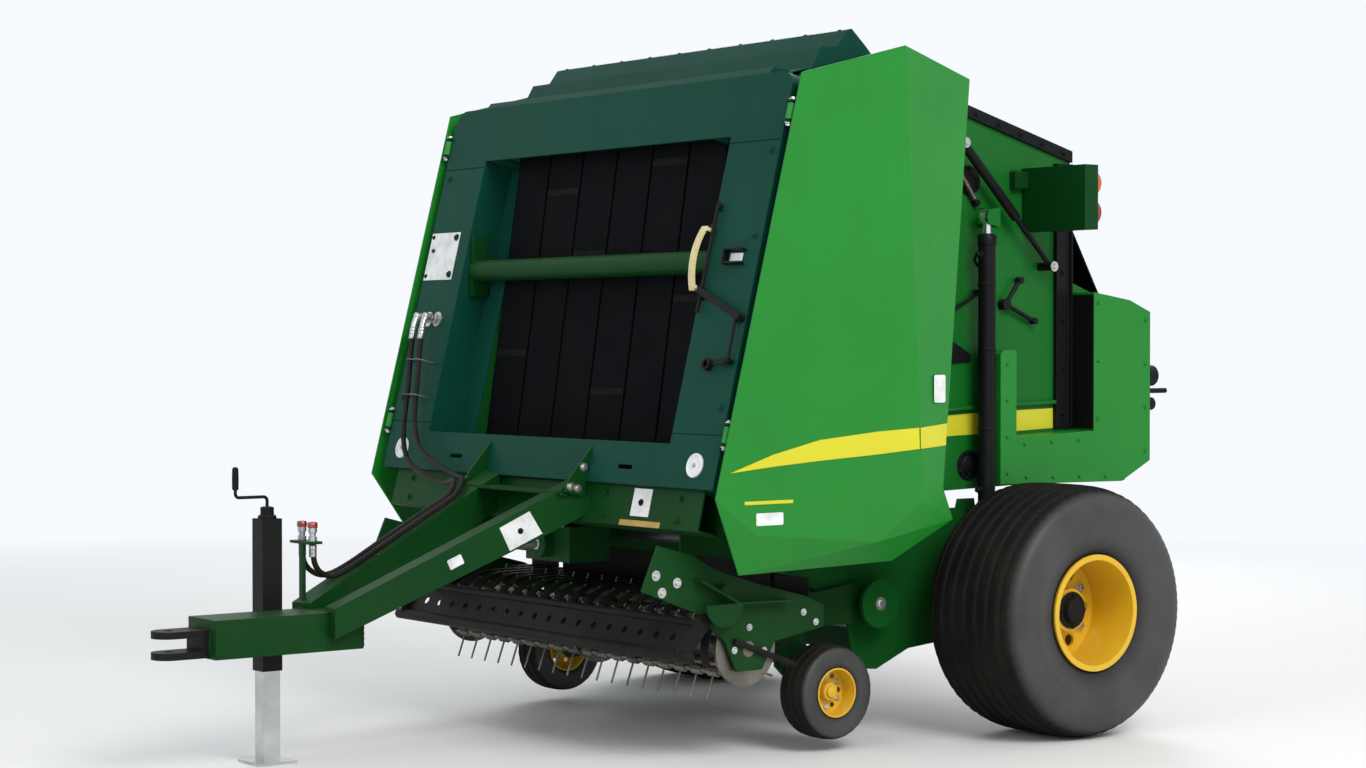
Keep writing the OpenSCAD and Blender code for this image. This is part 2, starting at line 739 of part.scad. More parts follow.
module tyre(d, w, bead_d) {
  rotate([90, 0, 0]) rotate_extrude($fn = 96) polygon([
    [bead_d / 2 + 0.3, -w * 0.40], [bead_d / 2 + w * 0.08, -w * 0.46], [d * 0.38, -w * 0.50], [d * 0.44, -w * 0.49],
    [d * 0.48, -w * 0.43], [d * 0.497, -w * 0.32], [d * 0.5, -w * 0.16], [d * 0.5, w * 0.16], [d * 0.497, w * 0.32],
    [d * 0.48, w * 0.43], [d * 0.44, w * 0.49], [d * 0.38, w * 0.50], [bead_d / 2 + w * 0.08, w * 0.46],
    [bead_d / 2 + 0.3, w * 0.40]
  ]);
}

// rim dished on its outer side, its blind hub bore running on the spindle
module rim(d, w, hub_d, bore_d) {
  r = d / 2;
  bore = bore_d / 2 + run_fit;
  difference() {
    rotate([90, 0, 0]) rotate_extrude($fn = 96) polygon([
      [r, -w * 0.43], [r + w * 0.025, -w * 0.43], [r + w * 0.025, -w * 0.45], [r - w * 0.02, -w * 0.45],
      [r - w * 0.03, -w * 0.02], [hub_d / 2, 0], [hub_d / 2, -w * 0.17], [0, -w * 0.19], [0, -w * 0.16],
      [bore, -w * 0.16], [bore, w * 0.16], [hub_d / 2, w * 0.16], [hub_d / 2, w * 0.03], [r - w * 0.03, w * 0.01],
      [r - w * 0.02, w * 0.45], [r + w * 0.025, w * 0.45], [r + w * 0.025, w * 0.43], [r, w * 0.43]
    ]);
    for (k = [0 : 5]) rotate([0, 60 * k, 0]) bar(r / 2 + hub_d / 4, 0, (r - hub_d / 2) * 0.36, -w / 4, w / 4);
  }
}

module tyre_left() {
  color(rubber) place() translate([0, track / 2, axle_z]) tyre(tyre_d, tyre_w, rim_d);
}

module tyre_right() {
  color(rubber) place() translate([0, -track / 2, axle_z]) tyre(tyre_d, tyre_w, rim_d);
}

module rim_left() {
  color(rim_yellow) place() translate([0, track / 2, axle_z]) rim(rim_d, tyre_w, 170, spindle_d);
}

module rim_right() {
  color(rim_yellow) place() translate([0, -track / 2, axle_z]) mirror([0, 1, 0]) rim(rim_d, tyre_w, 170, spindle_d);
}

module gauge_tyre_left() {
  color(rubber) place() translate([gauge_x, gauge_y, gauge_z]) tyre(gauge_d, gauge_w, gauge_rim_d);
}

module gauge_tyre_right() {
  color(rubber) place() translate([gauge_x, -gauge_y, gauge_z]) tyre(gauge_d, gauge_w, gauge_rim_d);
}

module gauge_rim_left() {
  color(rim_yellow) place() translate([gauge_x, gauge_y, gauge_z]) rim(gauge_rim_d, gauge_w, 70, 30);
}

module gauge_rim_right() {
  color(rim_yellow) place() translate([gauge_x, -gauge_y, gauge_z]) mirror([0, 1, 0])
    rim(gauge_rim_d, gauge_w, 70, 30);
}

SHEET = [[300, 950], [300, 2200], [hinge_x - 20, hinge_z - 100], [hinge_x + 55, hinge_z], [400, 2563], [-470, 2328],
         [-470, 1800], [-700, 1720], [-820, 1670], [-820, 1055], [-655, 975]];

// web and two ears either side of a lift cylinder's rod eye
module rod_ears() {
  x = barrel_top[0];
  z = barrel_top[1];
  half = eye_w / 2 + ear_gap;
  plate([[x - 46, z - 40], [x - 36, z - 40], [x - 36, z + 40], [x - 46, z + 40]], gate_y + sheet,
        barrel_y + half + sheet - gate_y - sheet);
  for (y = [barrel_y - half - sheet, barrel_y + half])
    plate([[x - 40, z - 40], [x + 20, z - 28], [x + 28, z], [x + 20, z + 28], [x - 40, z + 40]], y, sheet);
}

module gate_sides() {
  color(green) place() {
    pair() difference() {
      union() {
        plate(SHEET, gate_y, sheet);
        bar(hinge_x, hinge_z, hinge_d + 60, gate_y, gate_y + 22);
        rod_ears();
      }
      bar(hinge_x, hinge_z, hinge_d + 2 * run_fit, gate_y - 1, gate_y + 23);
    }
    plate([[200, 2509], [-455, 2332], [-455, 2324], [200, 2501]], -gate_y, 2 * gate_y);
    translate([-815, -gate_y, 960]) cube([90, 2 * gate_y, 55]);
    bar(-425, 2262, 60, -gate_y, gate_y);
    pair() {
      plate([[285, 1268], [285, 1282], [50, 1294], [50, 1280]], gate_y + sheet, 22);
      plate([[-47, 1284], [-47, 1298], [-372, 1307], [-372, 1293]], gate_y + sheet, 22);
    }
  }
}

COVER = [[46, 975], [46, 1500], [30, 1516], [-43, 1516], [-43, 1165], [-490, 1181], [-490, 1755], [-704, 1724],
         [-829, 1675], [-829, 1050], [-659, 967]];

module gate_covers() {
  color(green) place() pair() difference() {
    plate(COVER, gate_y + sheet, cover_y - gate_y - sheet);
    plate(inset(COVER, sheet), gate_y + sheet - 1, cover_y - gate_y - 2 * sheet + 1);
  }
}

// bar along the gate's sloping edge, channel along its upright edge and sheet on the cover's front face
module gate_edges() {
  in = gate_y + sheet;
  color(black) place() pair() {
    plate([[400, 2577], [-470, 2342], [-470, 2295], [400, 2530]], in, 16);
    difference() {
      translate([-470, in, 1188]) cube([95, 20, 1100]);
      translate([-462, in + 8, 1187]) cube([79, 13, 1102]);
    }
    translate([-490, in, 1190]) cube([4, cover_y - 2 - in, 555]);
  }
}

module gate_stripes() {
  color(yellow) place() pair() {
    plate([[285, 1168], [285, 1250], [50, 1262], [50, 1175]], gate_y + sheet, 2);
    plate([[-47, 1178], [-47, 1266], [-372, 1274], [-372, 1191]], gate_y + sheet, 2);
  }
}

module gate_rollers() {
  color(steel) place() for (r = GATE_LOOP) {
    bar(r[0], r[1], 2 * r[2], -wall_y + 4, wall_y - 4);
    bar(r[0], r[1], 40, -gate_y, gate_y);
  }
}

module gate_belts() {
  color(black) place() belts(GATE_LOOP);
}

module lamp_boards() {
  y = gate_y + sheet;
  color(dark_green) place() pair() {
    difference() {
      translate([-265, y, 2000]) cube([75, 357, 260]);
      translate([-266, y + 6, 2006]) cube([50, 345, 248]);
    }
    translate([-191, y, 2175]) cube([71, 34, 70]);
  }
}

module amber_lamps() {
  color(amber) place() pair() translate([-310, gate_y + 290, 2190]) rotate([0, 90, 0]) cylinder(h = 94, d = 100);
}

module red_lamps() {
  color(red) place() pair() {
    translate([-310, gate_y + 290, 2072]) rotate([0, 90, 0]) cylinder(h = 94, d = 100);
    translate([-290, gate_y + 60, 2020]) cube([74, 130, 90]);
  }
}

// two-armed lever as x and z of its arm ends and its boss between them
LEVER = [[-154, 1801], [-75, 1702], [-235, 1635]];

module tension_struts() {
  in = gate_y + sheet;
  y = in + 62;
  upper = [200, y, 2345];
  lower = [-296, y, 1859];
  color(black) place() pair() {
    rod_between(upper, (2 * upper + 3 * lower) / 5, 40);
    rod_between(upper, lower, 22);
    for (p = [upper, lower]) bar(p[0], p[2], 34, in, y + 22);
    rod_between([215, in + 15, 2282], [82, in + 15, 2110], 20);
    for (p = [[215, 2282], [82, 2110], [242, 1664], [60, 1748]]) bar(p[0], p[1], 26, in, in + 28);
    rod_between([242, in + 15, 1664], [60, in + 15, 1748], 16);
    plate([[253, 1568], [190, 1545], [104, 1500], [104, 1468], [200, 1462], [250, 1500]], in, 8);
    bar(LEVER[1][0], LEVER[1][1], 44, in, in + 36);
    for (e = [LEVER[0], LEVER[2]]) {
      rod_between([LEVER[1][0], in + 26, LEVER[1][1]], [e[0], in + 26, e[1]], 18);
      bar(e[0], e[1], 28, in + 12, in + 40);
    }
  }
}

module rear_latch() {
  y = gate_y + 60;
  color(black) place() pair() {
    translate([-905, y - 40, 1250]) cube([76, 8, 205]);
    translate([-950, y - 36, 1405]) rotate([0, 90, 0]) cylinder(h = 50, d = 90);
    translate([-rear_reach, y - 36, 1340]) rotate([0, 90, 0]) cylinder(h = 140, d = 22);
    translate([-950, y - 36, 1285]) rotate([0, 90, 0]) cylinder(h = 50, d = 56);
  }
}

module barrel() {
  x = barrel_low[0];
  z = barrel_low[1];
  difference() {
    union() {
      bar(x, z, 64, barrel_y - 24, barrel_y + 24);
      translate([x, barrel_y, z + 20]) cylinder(h = barrel_len - 20, d = barrel_d);
    }
    bar(x, z, 30 + 2 * run_fit, barrel_y - 50, barrel_y + 50);
    translate([x, barrel_y, z + 50]) cylinder(h = barrel_len, d = rod_d + 2 * run_fit);
  }
}

module piston_rod() {
  x = barrel_top[0];
  z = barrel_top[1];
  bar(x, z, 56, barrel_y - eye_w / 2, barrel_y + eye_w / 2);
  translate([x, barrel_y, barrel_low[1] + 60]) cylinder(h = z - barrel_low[1] - 60, d = rod_d);
}

module barrel_left() {
  color(black) place() barrel();
}

module barrel_right() {
  color(black) place() mirror([0, 1, 0]) barrel();
}

module rod_left() {
  color(steel) place() piston_rod();
}

module rod_right() {
  color(steel) place() mirror([0, 1, 0]) piston_rod();
}

front_frame();
top_rails();
side_walls();
axle();
front_rollers();
front_belts();
guide_tube();
guide_shoe();
guide_lever();
drawbar();
hitch();
gearbox();
chain_drive();
front_plates();
hoses();
jack_tube();
jack_leg();
input_shaft();
shield_left();
stripe_left();
shield_right();
stripe_right();
pickup_frame();
strippers();
windguard();
pickup_reel();
gauge_tyre_left();
gauge_rim_left();
gauge_tyre_right();
gauge_rim_right();
tyre_left();
rim_left();
tyre_right();
rim_right();
gate_sides();
gate_covers();
gate_edges();
gate_stripes();
gate_rollers();
gate_belts();
lamp_boards();
amber_lamps();
red_lamps();
tension_struts();
rear_latch();
barrel_left();
rod_left();
barrel_right();
rod_right();
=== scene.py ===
# %% [markdown]
# # A round baler, dressed for the camera
# The imported model already holds the machine at its real size: frame, chamber, belts, gate, pickup and wheels,
# each piece on the body that carries it. This lesson leaves those shapes alone. It gives each of them a
# worked finish, and adds what a solid model leaves out: tread, bolt heads, coil springs, lenses, clips and
# seams. The model comes in first.

# %% Load the imported model
import math
import bpy
import numpy as np
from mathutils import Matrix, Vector


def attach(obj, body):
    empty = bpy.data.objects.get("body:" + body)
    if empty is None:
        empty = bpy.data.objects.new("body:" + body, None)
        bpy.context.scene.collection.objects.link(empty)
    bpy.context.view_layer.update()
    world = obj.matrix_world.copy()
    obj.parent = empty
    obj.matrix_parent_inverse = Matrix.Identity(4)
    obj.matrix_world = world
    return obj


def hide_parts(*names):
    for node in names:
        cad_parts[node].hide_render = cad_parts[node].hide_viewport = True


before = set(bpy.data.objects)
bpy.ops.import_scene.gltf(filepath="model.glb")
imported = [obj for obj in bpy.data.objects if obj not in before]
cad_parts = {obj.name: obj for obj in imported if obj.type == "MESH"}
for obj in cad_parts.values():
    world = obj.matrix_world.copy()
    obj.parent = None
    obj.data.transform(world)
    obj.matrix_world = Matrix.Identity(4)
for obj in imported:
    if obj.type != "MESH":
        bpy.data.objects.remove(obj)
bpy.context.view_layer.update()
scene = bpy.context.scene

# %% [markdown]
# ## The camera
# The photograph was taken from the machine's front left, a little above a person's eye, with a longish lens.
# The place, the turn and the focal length were solved from points that could be recognised in the picture and
# in the model, so here they are only numbers. The lens looks along a forward direction made from two angles.

# %% Camera at the photograph's viewpoint
AXLE_X = -1.156
TURN, DIP = math.radians(52.577), math.radians(0.944)
camera_data = bpy.data.cameras.new("photo_camera")
camera_data.sensor_width = 36.0
camera_data.lens = 68.94
camera_data.clip_end = 200.0
camera = bpy.data.objects.new("photo_camera", camera_data)
camera.location = (7.449 + AXLE_X, 8.423, 1.553)
forward = Vector((-math.cos(TURN) * math.cos(DIP), -math.sin(TURN) * math.cos(DIP), -math.sin(DIP)))
camera.rotation_euler = forward.to_track_quat("-Z", "Y").to_euler()
scene.collection.objects.link(camera)
scene.camera = camera
print("camera at", [round(c, 3) for c in camera.location], "looking", [round(c, 3) for c in forward])

# %% [markdown]
# ## Two sets of axes
# Side profiles on this machine are measured from the wheel axle, and the front frame leans back, so it has
# axes of its own: out of its face, to the left, and up along the lean. Two small functions turn either kind
# of place into a point of the model. They take whole arrays, so one call places a row of bolts. What stands
# on both sides is written for the left, with y turned over by s = -1 for the right.

# %% Places measured from the axle, and on the leaning face
LEAN = math.radians(14.12)
SIDES = (("left", 1), ("right", -1))


def at(x, y, z):
    """Points x ahead of the wheel axle, y to the left and z above the floor: the axle stands at AXLE_X."""
    return np.stack(np.broadcast_arrays(np.asarray(x, float) + AXLE_X, y, z), -1).astype(float)


def on_face(out, y, up):
    """Points of the front frame: (out, up) turned back by the lean about the lower edge of its face."""
    out, up = np.asarray(out, float), np.asarray(up, float)
    c, s = math.cos(LEAN), math.sin(LEAN)
    return at(1.737 + out * c - up * s, y, 1.023 + out * s + up * c)


FACE = on_face(1, 0, 0) - on_face(0, 0, 0)
UP = on_face(0, 0, 1) - on_face(0, 0, 0)
AHEAD, BACK, ACROSS, RISING = (1, 0, 0), (-1, 0, 0), (0, 1, 0), (0, 0, 1)
print("top of the leaning face:", on_face(0, 0, 1.561).round(3))

# %% [markdown]
# ## Surfaces from grids
# Every new piece is a grid of points worked out by a formula, and each cell of the grid becomes one
# four-sided face. A wrapped grid closes on itself, as a tyre does. An end is closed with a fan of triangles
# round its middle. Parts are kept as (points, faces) until the piece is whole, so small shapes can be copied
# many times in one go.

# %% Grids, fans and merged parts
def grid(points, wrapped=False):
    """Quads over m rings of n points: cell (i, j) joins (i, j), (i+1, j), (i+1, j+1) and (i, j+1). Every ring
    closes, and a wrapped grid joins its last ring to its first."""
    m, n = points.shape[:2]
    i = np.arange(m if wrapped else m - 1)[:, None]
    j = np.arange(n)[None, :]
    i2, j2 = (i + 1) % m, (j + 1) % n
    quads = np.stack(np.broadcast_arrays(i * n + j, i2 * n + j, i2 * n + j2, i * n + j2), -1).reshape(-1, 4)
    return points.reshape(-1, 3), [quads]


def merge(*parts):
    """One part from several: points stacked, and each part's faces moved on by the points before it."""
    points, faces, count = [], [], 0
    for p, fs in parts:
        points.append(p)
        faces += [f + count for f in fs]
        count += len(p)
    return np.concatenate(points), faces


def outward(part):
    """Faces turned so that the volume inside, a sixth of the sum of a . (b x c) over triangles, is positive."""
    points, faces = part
    volume = sum(np.einsum("ij,ij->", points[f[:, 0]], np.cross(points[f[:, k]], points[f[:, k + 1]]))
                 for f in faces for k in range(1, f.shape[1] - 1))
    return points, faces if volume > 0 else [f[:, ::-1] for f in faces]


def closed_tube(rings):
    """A grid over rings, with both ends closed by a fan about the ring's middle point."""
    m, n = rings.shape[:2]
    points, faces = grid(rings)
    middles = np.stack([rings[0].mean(0), rings[-1].mean(0)])
    j = np.arange(n)
    j2 = (j + 1) % n
    low = np.stack([np.full(n, m * n), j, j2], -1)
    high = np.stack([np.full(n, m * n + 1), (m - 1) * n + j2, (m - 1) * n + j], -1)
    return outward((np.concatenate([points, middles]), [*faces, low, high]))


def piece(name, part, material, body, slot, crease=35.0, **values):
    """A mesh object from a part or a list of parts, smooth but for edges sharper than the crease angle, riding
    on a body. Further arguments are kept as one number for each point, for a material to read by name."""
    points, faces = merge(*part) if isinstance(part, list) else part
    mesh = bpy.data.meshes.new(name)
    corners = np.concatenate([f.ravel() for f in faces]).astype(np.int32)
    sizes = np.concatenate([np.full(len(f), f.shape[1]) for f in faces])
    mesh.vertices.add(len(points))
    mesh.vertices.foreach_set("co", points.astype(np.float32).ravel())
    mesh.loops.add(len(corners))
    mesh.loops.foreach_set("vertex_index", corners)
    mesh.polygons.add(len(sizes))
    mesh.polygons.foreach_set("loop_start", (np.cumsum(sizes) - sizes).astype(np.int32))
    mesh.update(calc_edges=True)
    mesh.validate()
    mesh.polygons.foreach_set("use_smooth", np.ones(len(mesh.polygons), bool))
    mesh.set_sharp_from_angle(angle=math.radians(crease))
    for key, numbers in values.items():
        mesh.attributes.new(key, "FLOAT", "POINT").data.foreach_set("value", np.asarray(numbers, np.float32))
    mesh.materials.append(material)
    obj = bpy.data.objects.new(name, mesh)
    scene.collection.objects.link(obj)
    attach(obj, body)
    print(f"{name}: {len(mesh.polygons)} faces on {body}")
    return obj


# %% [markdown]
# ## Bars, turned shapes and little plates
# Most of the small hardware is one of four forms: a round tube along a path, a profile turned about an axis,
# a flat plate with softened edges, or one small shape copied to many places. Each is a grid in its own way.

# %% Tube along a path
def unit(v):
    """Vectors divided by their own length."""
    return v / np.linalg.norm(v, axis=-1, keepdims=True)


def tube(path, radius, sides=8, across=ACROSS):
    """Circle of the given radius carried along a path: each ring stands square to the path there."""
    path = np.asarray(path, float)
    along = unit(np.gradient(path, axis=0))
    side = unit(np.cross(along, np.asarray(across, float) + 1e-6))
    up = np.cross(side, along)
    angle = np.linspace(0, 2 * np.pi, sides, endpoint=False)[None, :, None]
    r = np.broadcast_to(np.asarray(radius, float), (len(path),))[:, None, None]
    return closed_tube(path[:, None] + r * (np.cos(angle) * side[:, None] + np.sin(angle) * up[:, None]))


# %% Profile turned about an axis
def turned(profile, centre=(0, 0, 0), axis=RISING, sides=20):
    """Profile of (radius, height) pairs swung round an axis through the centre; its ends close on the axis."""
    axis = unit(np.asarray(axis, float))
    spare = np.array([1.0, 0, 0]) if abs(axis[0]) < 0.9 else np.array([0, 0, 1.0])
    u = unit(np.cross(axis, spare))
    w = np.cross(axis, u)
    profile = np.asarray(profile, float)
    angle = np.linspace(0, 2 * np.pi, sides, endpoint=False)[None, :, None]
    r, h = profile[:, 0][:, None, None], profile[:, 1][:, None, None]
    return closed_tube(np.asarray(centre, float) + r * (np.cos(angle) * u + np.sin(angle) * w) + h * axis)


# %% Flat plate with softened edges
def plate(outline, corner, u, w, thickness, soft=0.0015):
    """Outline of (a, b) pairs laid on the axes u and w from a corner, stood off by its thickness along u x w.
    Four rings: drawn in by the soft edge, full, full, and drawn in again at the top."""
    outline = np.asarray(outline, float)
    u, w = unit(np.asarray(u, float)), unit(np.asarray(w, float))
    out = np.cross(u, w)
    ahead = unit(np.roll(outline, -1, 0) - outline)
    behind = np.roll(ahead, 1, 0)
    inward = np.stack([-ahead[:, 1] - behind[:, 1], ahead[:, 0] + behind[:, 0]], -1)
    inward = inward / (1 + (ahead * behind).sum(-1, keepdims=True))
    rings = [(soft, 0.0), (0.0, soft), (0.0, thickness - soft), (soft, thickness)]
    flat = np.stack([outline + inward * s for s, _ in rings])
    height = np.array([h for _, h in rings])[:, None, None]
    return closed_tube(np.asarray(corner, float) + flat[..., :1] * u + flat[..., 1:] * w + height * out)


def rectangle(a, b):
    """Outline of a rectangle about the origin that reaches a and b to either side."""
    return [(-a, -b), (a, -b), (a, b), (-a, b)]


# %% One small shape in many places
def set_on(part, places, u, w):
    """A part drawn on X, Y and Z, set at each place with those three along u, w and u x w, one pair or many."""
    points, faces = part
    places = np.atleast_2d(places)
    u, w = (unit(np.broadcast_to(np.asarray(v, float), places.shape)) for v in (u, w))
    moved = places[:, None] + np.einsum("pk,nkx->npx", points, np.stack([u, w, np.cross(u, w)], 1))
    shift = (np.arange(len(places)) * len(points))[:, None, None]
    return moved.reshape(-1, 3), [(f[None] + shift).reshape(-1, f.shape[1]) for f in faces]


def copies(part, places, out):
    """A part drawn about the origin with its own Z outward, set at each place with Z along out."""
    out = unit(np.broadcast_to(np.asarray(out, float), np.atleast_2d(places).shape))
    u = np.cross(np.where(np.abs(out[:, 2:]) < 0.9, [[0, 0, 1.0]], [[1.0, 0, 0]]), out)
    return set_on(part, places, u, np.cross(out, u))


# %% Bolt head
def bolt_head(across):
    """Washer and chamfered hexagon of a bolt, Z out of the sheet: rings of six points at growing heights."""
    angle = np.arange(6) * np.pi / 3
    hexagon = np.stack([np.cos(angle), np.sin(angle), 0 * angle], -1) * across * 0.577
    heights = np.array([[1.0, -0.001], [1.0, 0.6 * across], [0.86, 0.68 * across]])
    head = closed_tube(hexagon[None] * heights[:, :1, None] + heights[:, 1:, None] * RISING)
    washer = [(across * 0.95, -0.001), (across * 0.95, across * 0.14), (across * 0.5, across * 0.15)]
    return merge(head, turned(washer, sides=14))


def bolts(places, out, across):
    """Bolt heads at the places, each standing out of its sheet."""
    return copies(bolt_head(across), places, out)


def bolts_both(places, across):
    """Bolt heads that stand out to the left at the places, and the same on the machine's right."""
    return merge(*(bolts(places * [1, s, 1], (0, s, 0), across) for _, s in SIDES))


print("a bolt head has", sum(len(f) for f in bolt_head(0.018)[1]), "faces")

# %% [markdown]
# ## Finishes
# A finish is a small network of nodes on Object coordinates, so one scale of mottling runs over all pieces.
# Paint starts from its colour, varies a little from panel to panel, gathers pale dust where a face looks up
# and near the floor, and shows rubbed spots. Roughness follows the same dirt, and a fine bump keeps
# highlights alive. The wiring is the same for a material and for the world, so both use one class.

# %% A helper for wiring nodes
def linear(r, g, b):
    """Colour as seen on a screen, 0 to 255, turned into the linear values that the shader wants."""
    c = np.array([r, g, b]) / 255.0
    return (*np.where(c <= 0.04045, c / 12.92, ((c + 0.055) / 1.055) ** 2.4).tolist(), 1.0)


class Wiring:
    """Nodes of one tree: add() makes a node, sets its inputs, and links what is itself a socket."""

    def __init__(self, tree):
        self.nodes, self.links = tree.nodes, tree.links

    def put(self, socket, value):
        """Links a socket into an input, or sets the input to a number or colour."""
        if isinstance(value, bpy.types.NodeSocket):
            self.links.new(value, socket)
        else:
            socket.default_value = value

    def add(self, kind, out=0, settings=(), **inputs):
        """A node of that kind, its inputs given by name with underscores for spaces, or as i and a number;
        returns one of its outputs."""
        node = self.nodes.new(kind)
        for key, value in dict(settings).items():
            setattr(node, key, value)
        for key, value in inputs.items():
            numbered = key[0] == "i" and key[1:].isdigit()
            self.put(node.inputs[int(key[1:]) if numbered else key.replace("_", " ")], value)
        return node.outputs[out]

    def math(self, operation, a, b=0.0):
        """One arithmetic step on two numbers or sockets."""
        return self.add("ShaderNodeMath", 0, {"operation": operation}, i0=a, i1=b)

    def seen(self):
        """1 for rays to the camera, off a gloss or through a lens, and 0 for light on its way about."""
        rays = self.add("ShaderNodeLightPath").node.outputs
        at_once = self.math("MAXIMUM", rays["Is Camera Ray"], rays["Is Glossy Ray"])
        return self.math("MAXIMUM", at_once, rays["Is Transmission Ray"])


class Finish(Wiring):
    """A material under construction, with the Object coordinates as its place."""

    def __init__(self, name):
        self.material = bpy.data.materials.new(name)
        self.material.use_nodes = True
        super().__init__(self.material.node_tree)
        self.shader = self.nodes["Principled BSDF"]
        self.place = self.nodes.new("ShaderNodeTexCoord").outputs["Object"]

    def noise(self, scale, detail, roughness=0.55, stretch=None):
        """Soft noise from 0 to 1 with that many lumps a metre, drawn out along an axis where stretch says."""
        place = self.place
        if stretch:
            place = self.add("ShaderNodeMapping", Vector=place, Scale=stretch)
        return self.add("ShaderNodeTexNoise", "Fac", Vector=place, Scale=scale, Detail=detail,
                        Roughness=roughness)

    def ramp(self, value, low, high):
        """Straight rise from 0 at low to 1 at high."""
        return self.add("ShaderNodeMapRange", 0, {"clamp": True}, Value=value, From_Min=low, From_Max=high)

    def mix(self, amount, a, b):
        """Colour a where amount is 0, and colour b where it is 1."""
        return self.add("ShaderNodeMix", 2, {"data_type": "RGBA"}, i0=amount, i6=a, i7=b)

    def bump(self, height, strength, distance, under=None):
        """Normals tilted as if the height stood out by the distance."""
        inputs = {"Height": height, "Strength": strength, "Distance": distance}
        if under is not None:
            inputs["Normal"] = under
        return self.add("ShaderNodeBump", 0, **inputs)

    def rounded(self, radius):
        """Normals eased over the edges, as if every sheet edge had a lip of that radius."""
        return self.add("ShaderNodeBevel", 0, {"samples": 4}, Radius=radius)

    def kept(self, name):
        """The number that a piece keeps for each of its points under that name, or 0."""
        return self.add("ShaderNodeAttribute", "Fac", {"attribute_name": name})

    def upward(self):
        """How far a face looks up, 0 for a wall or an underside and 1 for a top."""
        normal = self.add("ShaderNodeNewGeometry", "Normal")
        return self.ramp(self.add("ShaderNodeSeparateXYZ", 2, Vector=normal), 0.15, 1.0)

    def height(self):
        """Height above the floor in metres."""
        return self.add("ShaderNodeSeparateXYZ", 2, Vector=self.place)

    def done(self, **inputs):
        """Wires the shader's own inputs and hands over the material."""
        for key, value in inputs.items():
            self.put(self.shader.inputs[key.replace("_", " ")], value)
        return self.material


# %% [markdown]
# ## Paint
# The doors are a clean mid green. The sheets behind them are darker, as painted shade of that green. The folded
# frame's deeper, bluer green and the drawbar's deep green are partly the same green with painted shade. All use
# one recipe, with the amounts of dust and wear as its numbers. Where paint is glossy it has a thin clear coat,
# as baked enamel has, and all of it has a faint orange-peel bump and shallow dents.

# %% The paint recipe
DUST, WORN = linear(150, 138, 104), linear(96, 98, 92)


def paint(name, colour, darker, dust, wear, roughness=0.42, coat=0.0, shine=0.2):
    """Enamel: colour mottled towards darker, dust on tops and low down, rubbed chips, fine orange peel."""
    f = Finish(name)
    patches = f.ramp(f.noise(1.7, 4.0), 0.35, 0.7)
    streaks = f.ramp(f.noise(9.0, 3.0, stretch=(1.0, 1.0, 0.18)), 0.45, 0.8)
    shade = f.mix(f.math("MULTIPLY", patches, 0.55), colour, darker)
    shade = f.mix(f.math("MULTIPLY", streaks, 0.22), shade, darker)
    low = f.ramp(f.height(), 1.1, 0.1)
    settled = f.math("MAXIMUM", f.math("MULTIPLY", f.upward(), 0.8), f.math("MULTIPLY", low, 0.45))
    grime = f.math("MULTIPLY", f.math("MULTIPLY", settled, f.ramp(f.noise(5.0, 6.0, 0.65), 0.3, 0.75)), dust)
    shade = f.mix(grime, shade, DUST)
    specks = f.ramp(f.noise(46.0, 5.0, 0.7), 0.70, 0.74)
    chips = f.math("MULTIPLY", specks, f.ramp(f.noise(3.1, 2.0), 0.5, 0.62))
    shade = f.mix(f.math("MULTIPLY", chips, wear), shade, WORN)
    dull = f.math("ADD", f.math("MULTIPLY", grime, 0.9), f.math("MULTIPLY", patches, 0.06))
    peel = f.bump(f.noise(420.0, 1.0), 0.10, 0.0006, f.rounded(0.004))
    dents = f.bump(f.noise(2.3, 2.0), 0.25, 0.004, peel)
    return f.done(Base_Color=shade, Roughness=f.math("ADD", dull, roughness), Normal=dents,
                  Specular_IOR_Level=shine, Coat_Weight=coat, Coat_Roughness=0.18)


door_green = paint("door_green_enamel", linear(25, 127, 39), linear(20, 112, 33), 0.08, 0.1, coat=0.15)
# The frame's deeper, bluer green is partly painted shade: the doors' green as it looks in shadow under a blue
# sky.
frame_shaded_green = paint("frame_green_enamel", linear(8, 66, 53), linear(6, 54, 44), 0.06, 0.2, shine=0.08)
# The drawbar green is partly painted shade, and on the pickup frame, the lamp boards and the guide tube it
# stands for their shadow.
deep_shaded_green = paint("drawbar_shaded_green_enamel", linear(9, 62, 22), linear(7, 48, 18), 0.08, 0.3, shine=0.1)
# The gate's side sheets carry the doors' paint; their darker green is painted shade.
side_shaded_green = paint("chamber_shaded_green_enamel", linear(17, 102, 33), linear(13, 84, 27), 0.08, 0.3, coat=0.05,
                   shine=0.15)
# The chamber walls under the doors carry the same paint too; their still darker green is painted shade.
wall_shaded_green = paint("inner_wall_green_enamel", linear(13, 82, 27), linear(8, 58, 19), 0.02, 0.3, shine=0.08)
black_paint = paint("black_enamel", linear(18, 19, 21), linear(12, 13, 14), 0.08, 0.25, 0.52, coat=0.05,
                    shine=0.1)
rim_paint = paint("rim_yellow_enamel", linear(224, 180, 30), linear(204, 156, 22), 0.25, 0.3, coat=0.35,
                  shine=0.3)
stripe_paint = paint("stripe_film", linear(208, 202, 46), linear(196, 188, 38), 0.06, 0.04, 0.36, coat=0.15)
print("paints:", [m.name for m in bpy.data.materials if "enamel" in m.name])


# %% [markdown]
# ## Bare metal
# Rollers and shafts are bright steel rubbed by crop and belts. Noise that is fine along the bar and long
# round it gives turning marks. Spring steel is darker and rustier, and a chromed rod is nearly a mirror.

# %% Metals
RUST = linear(112, 68, 42)


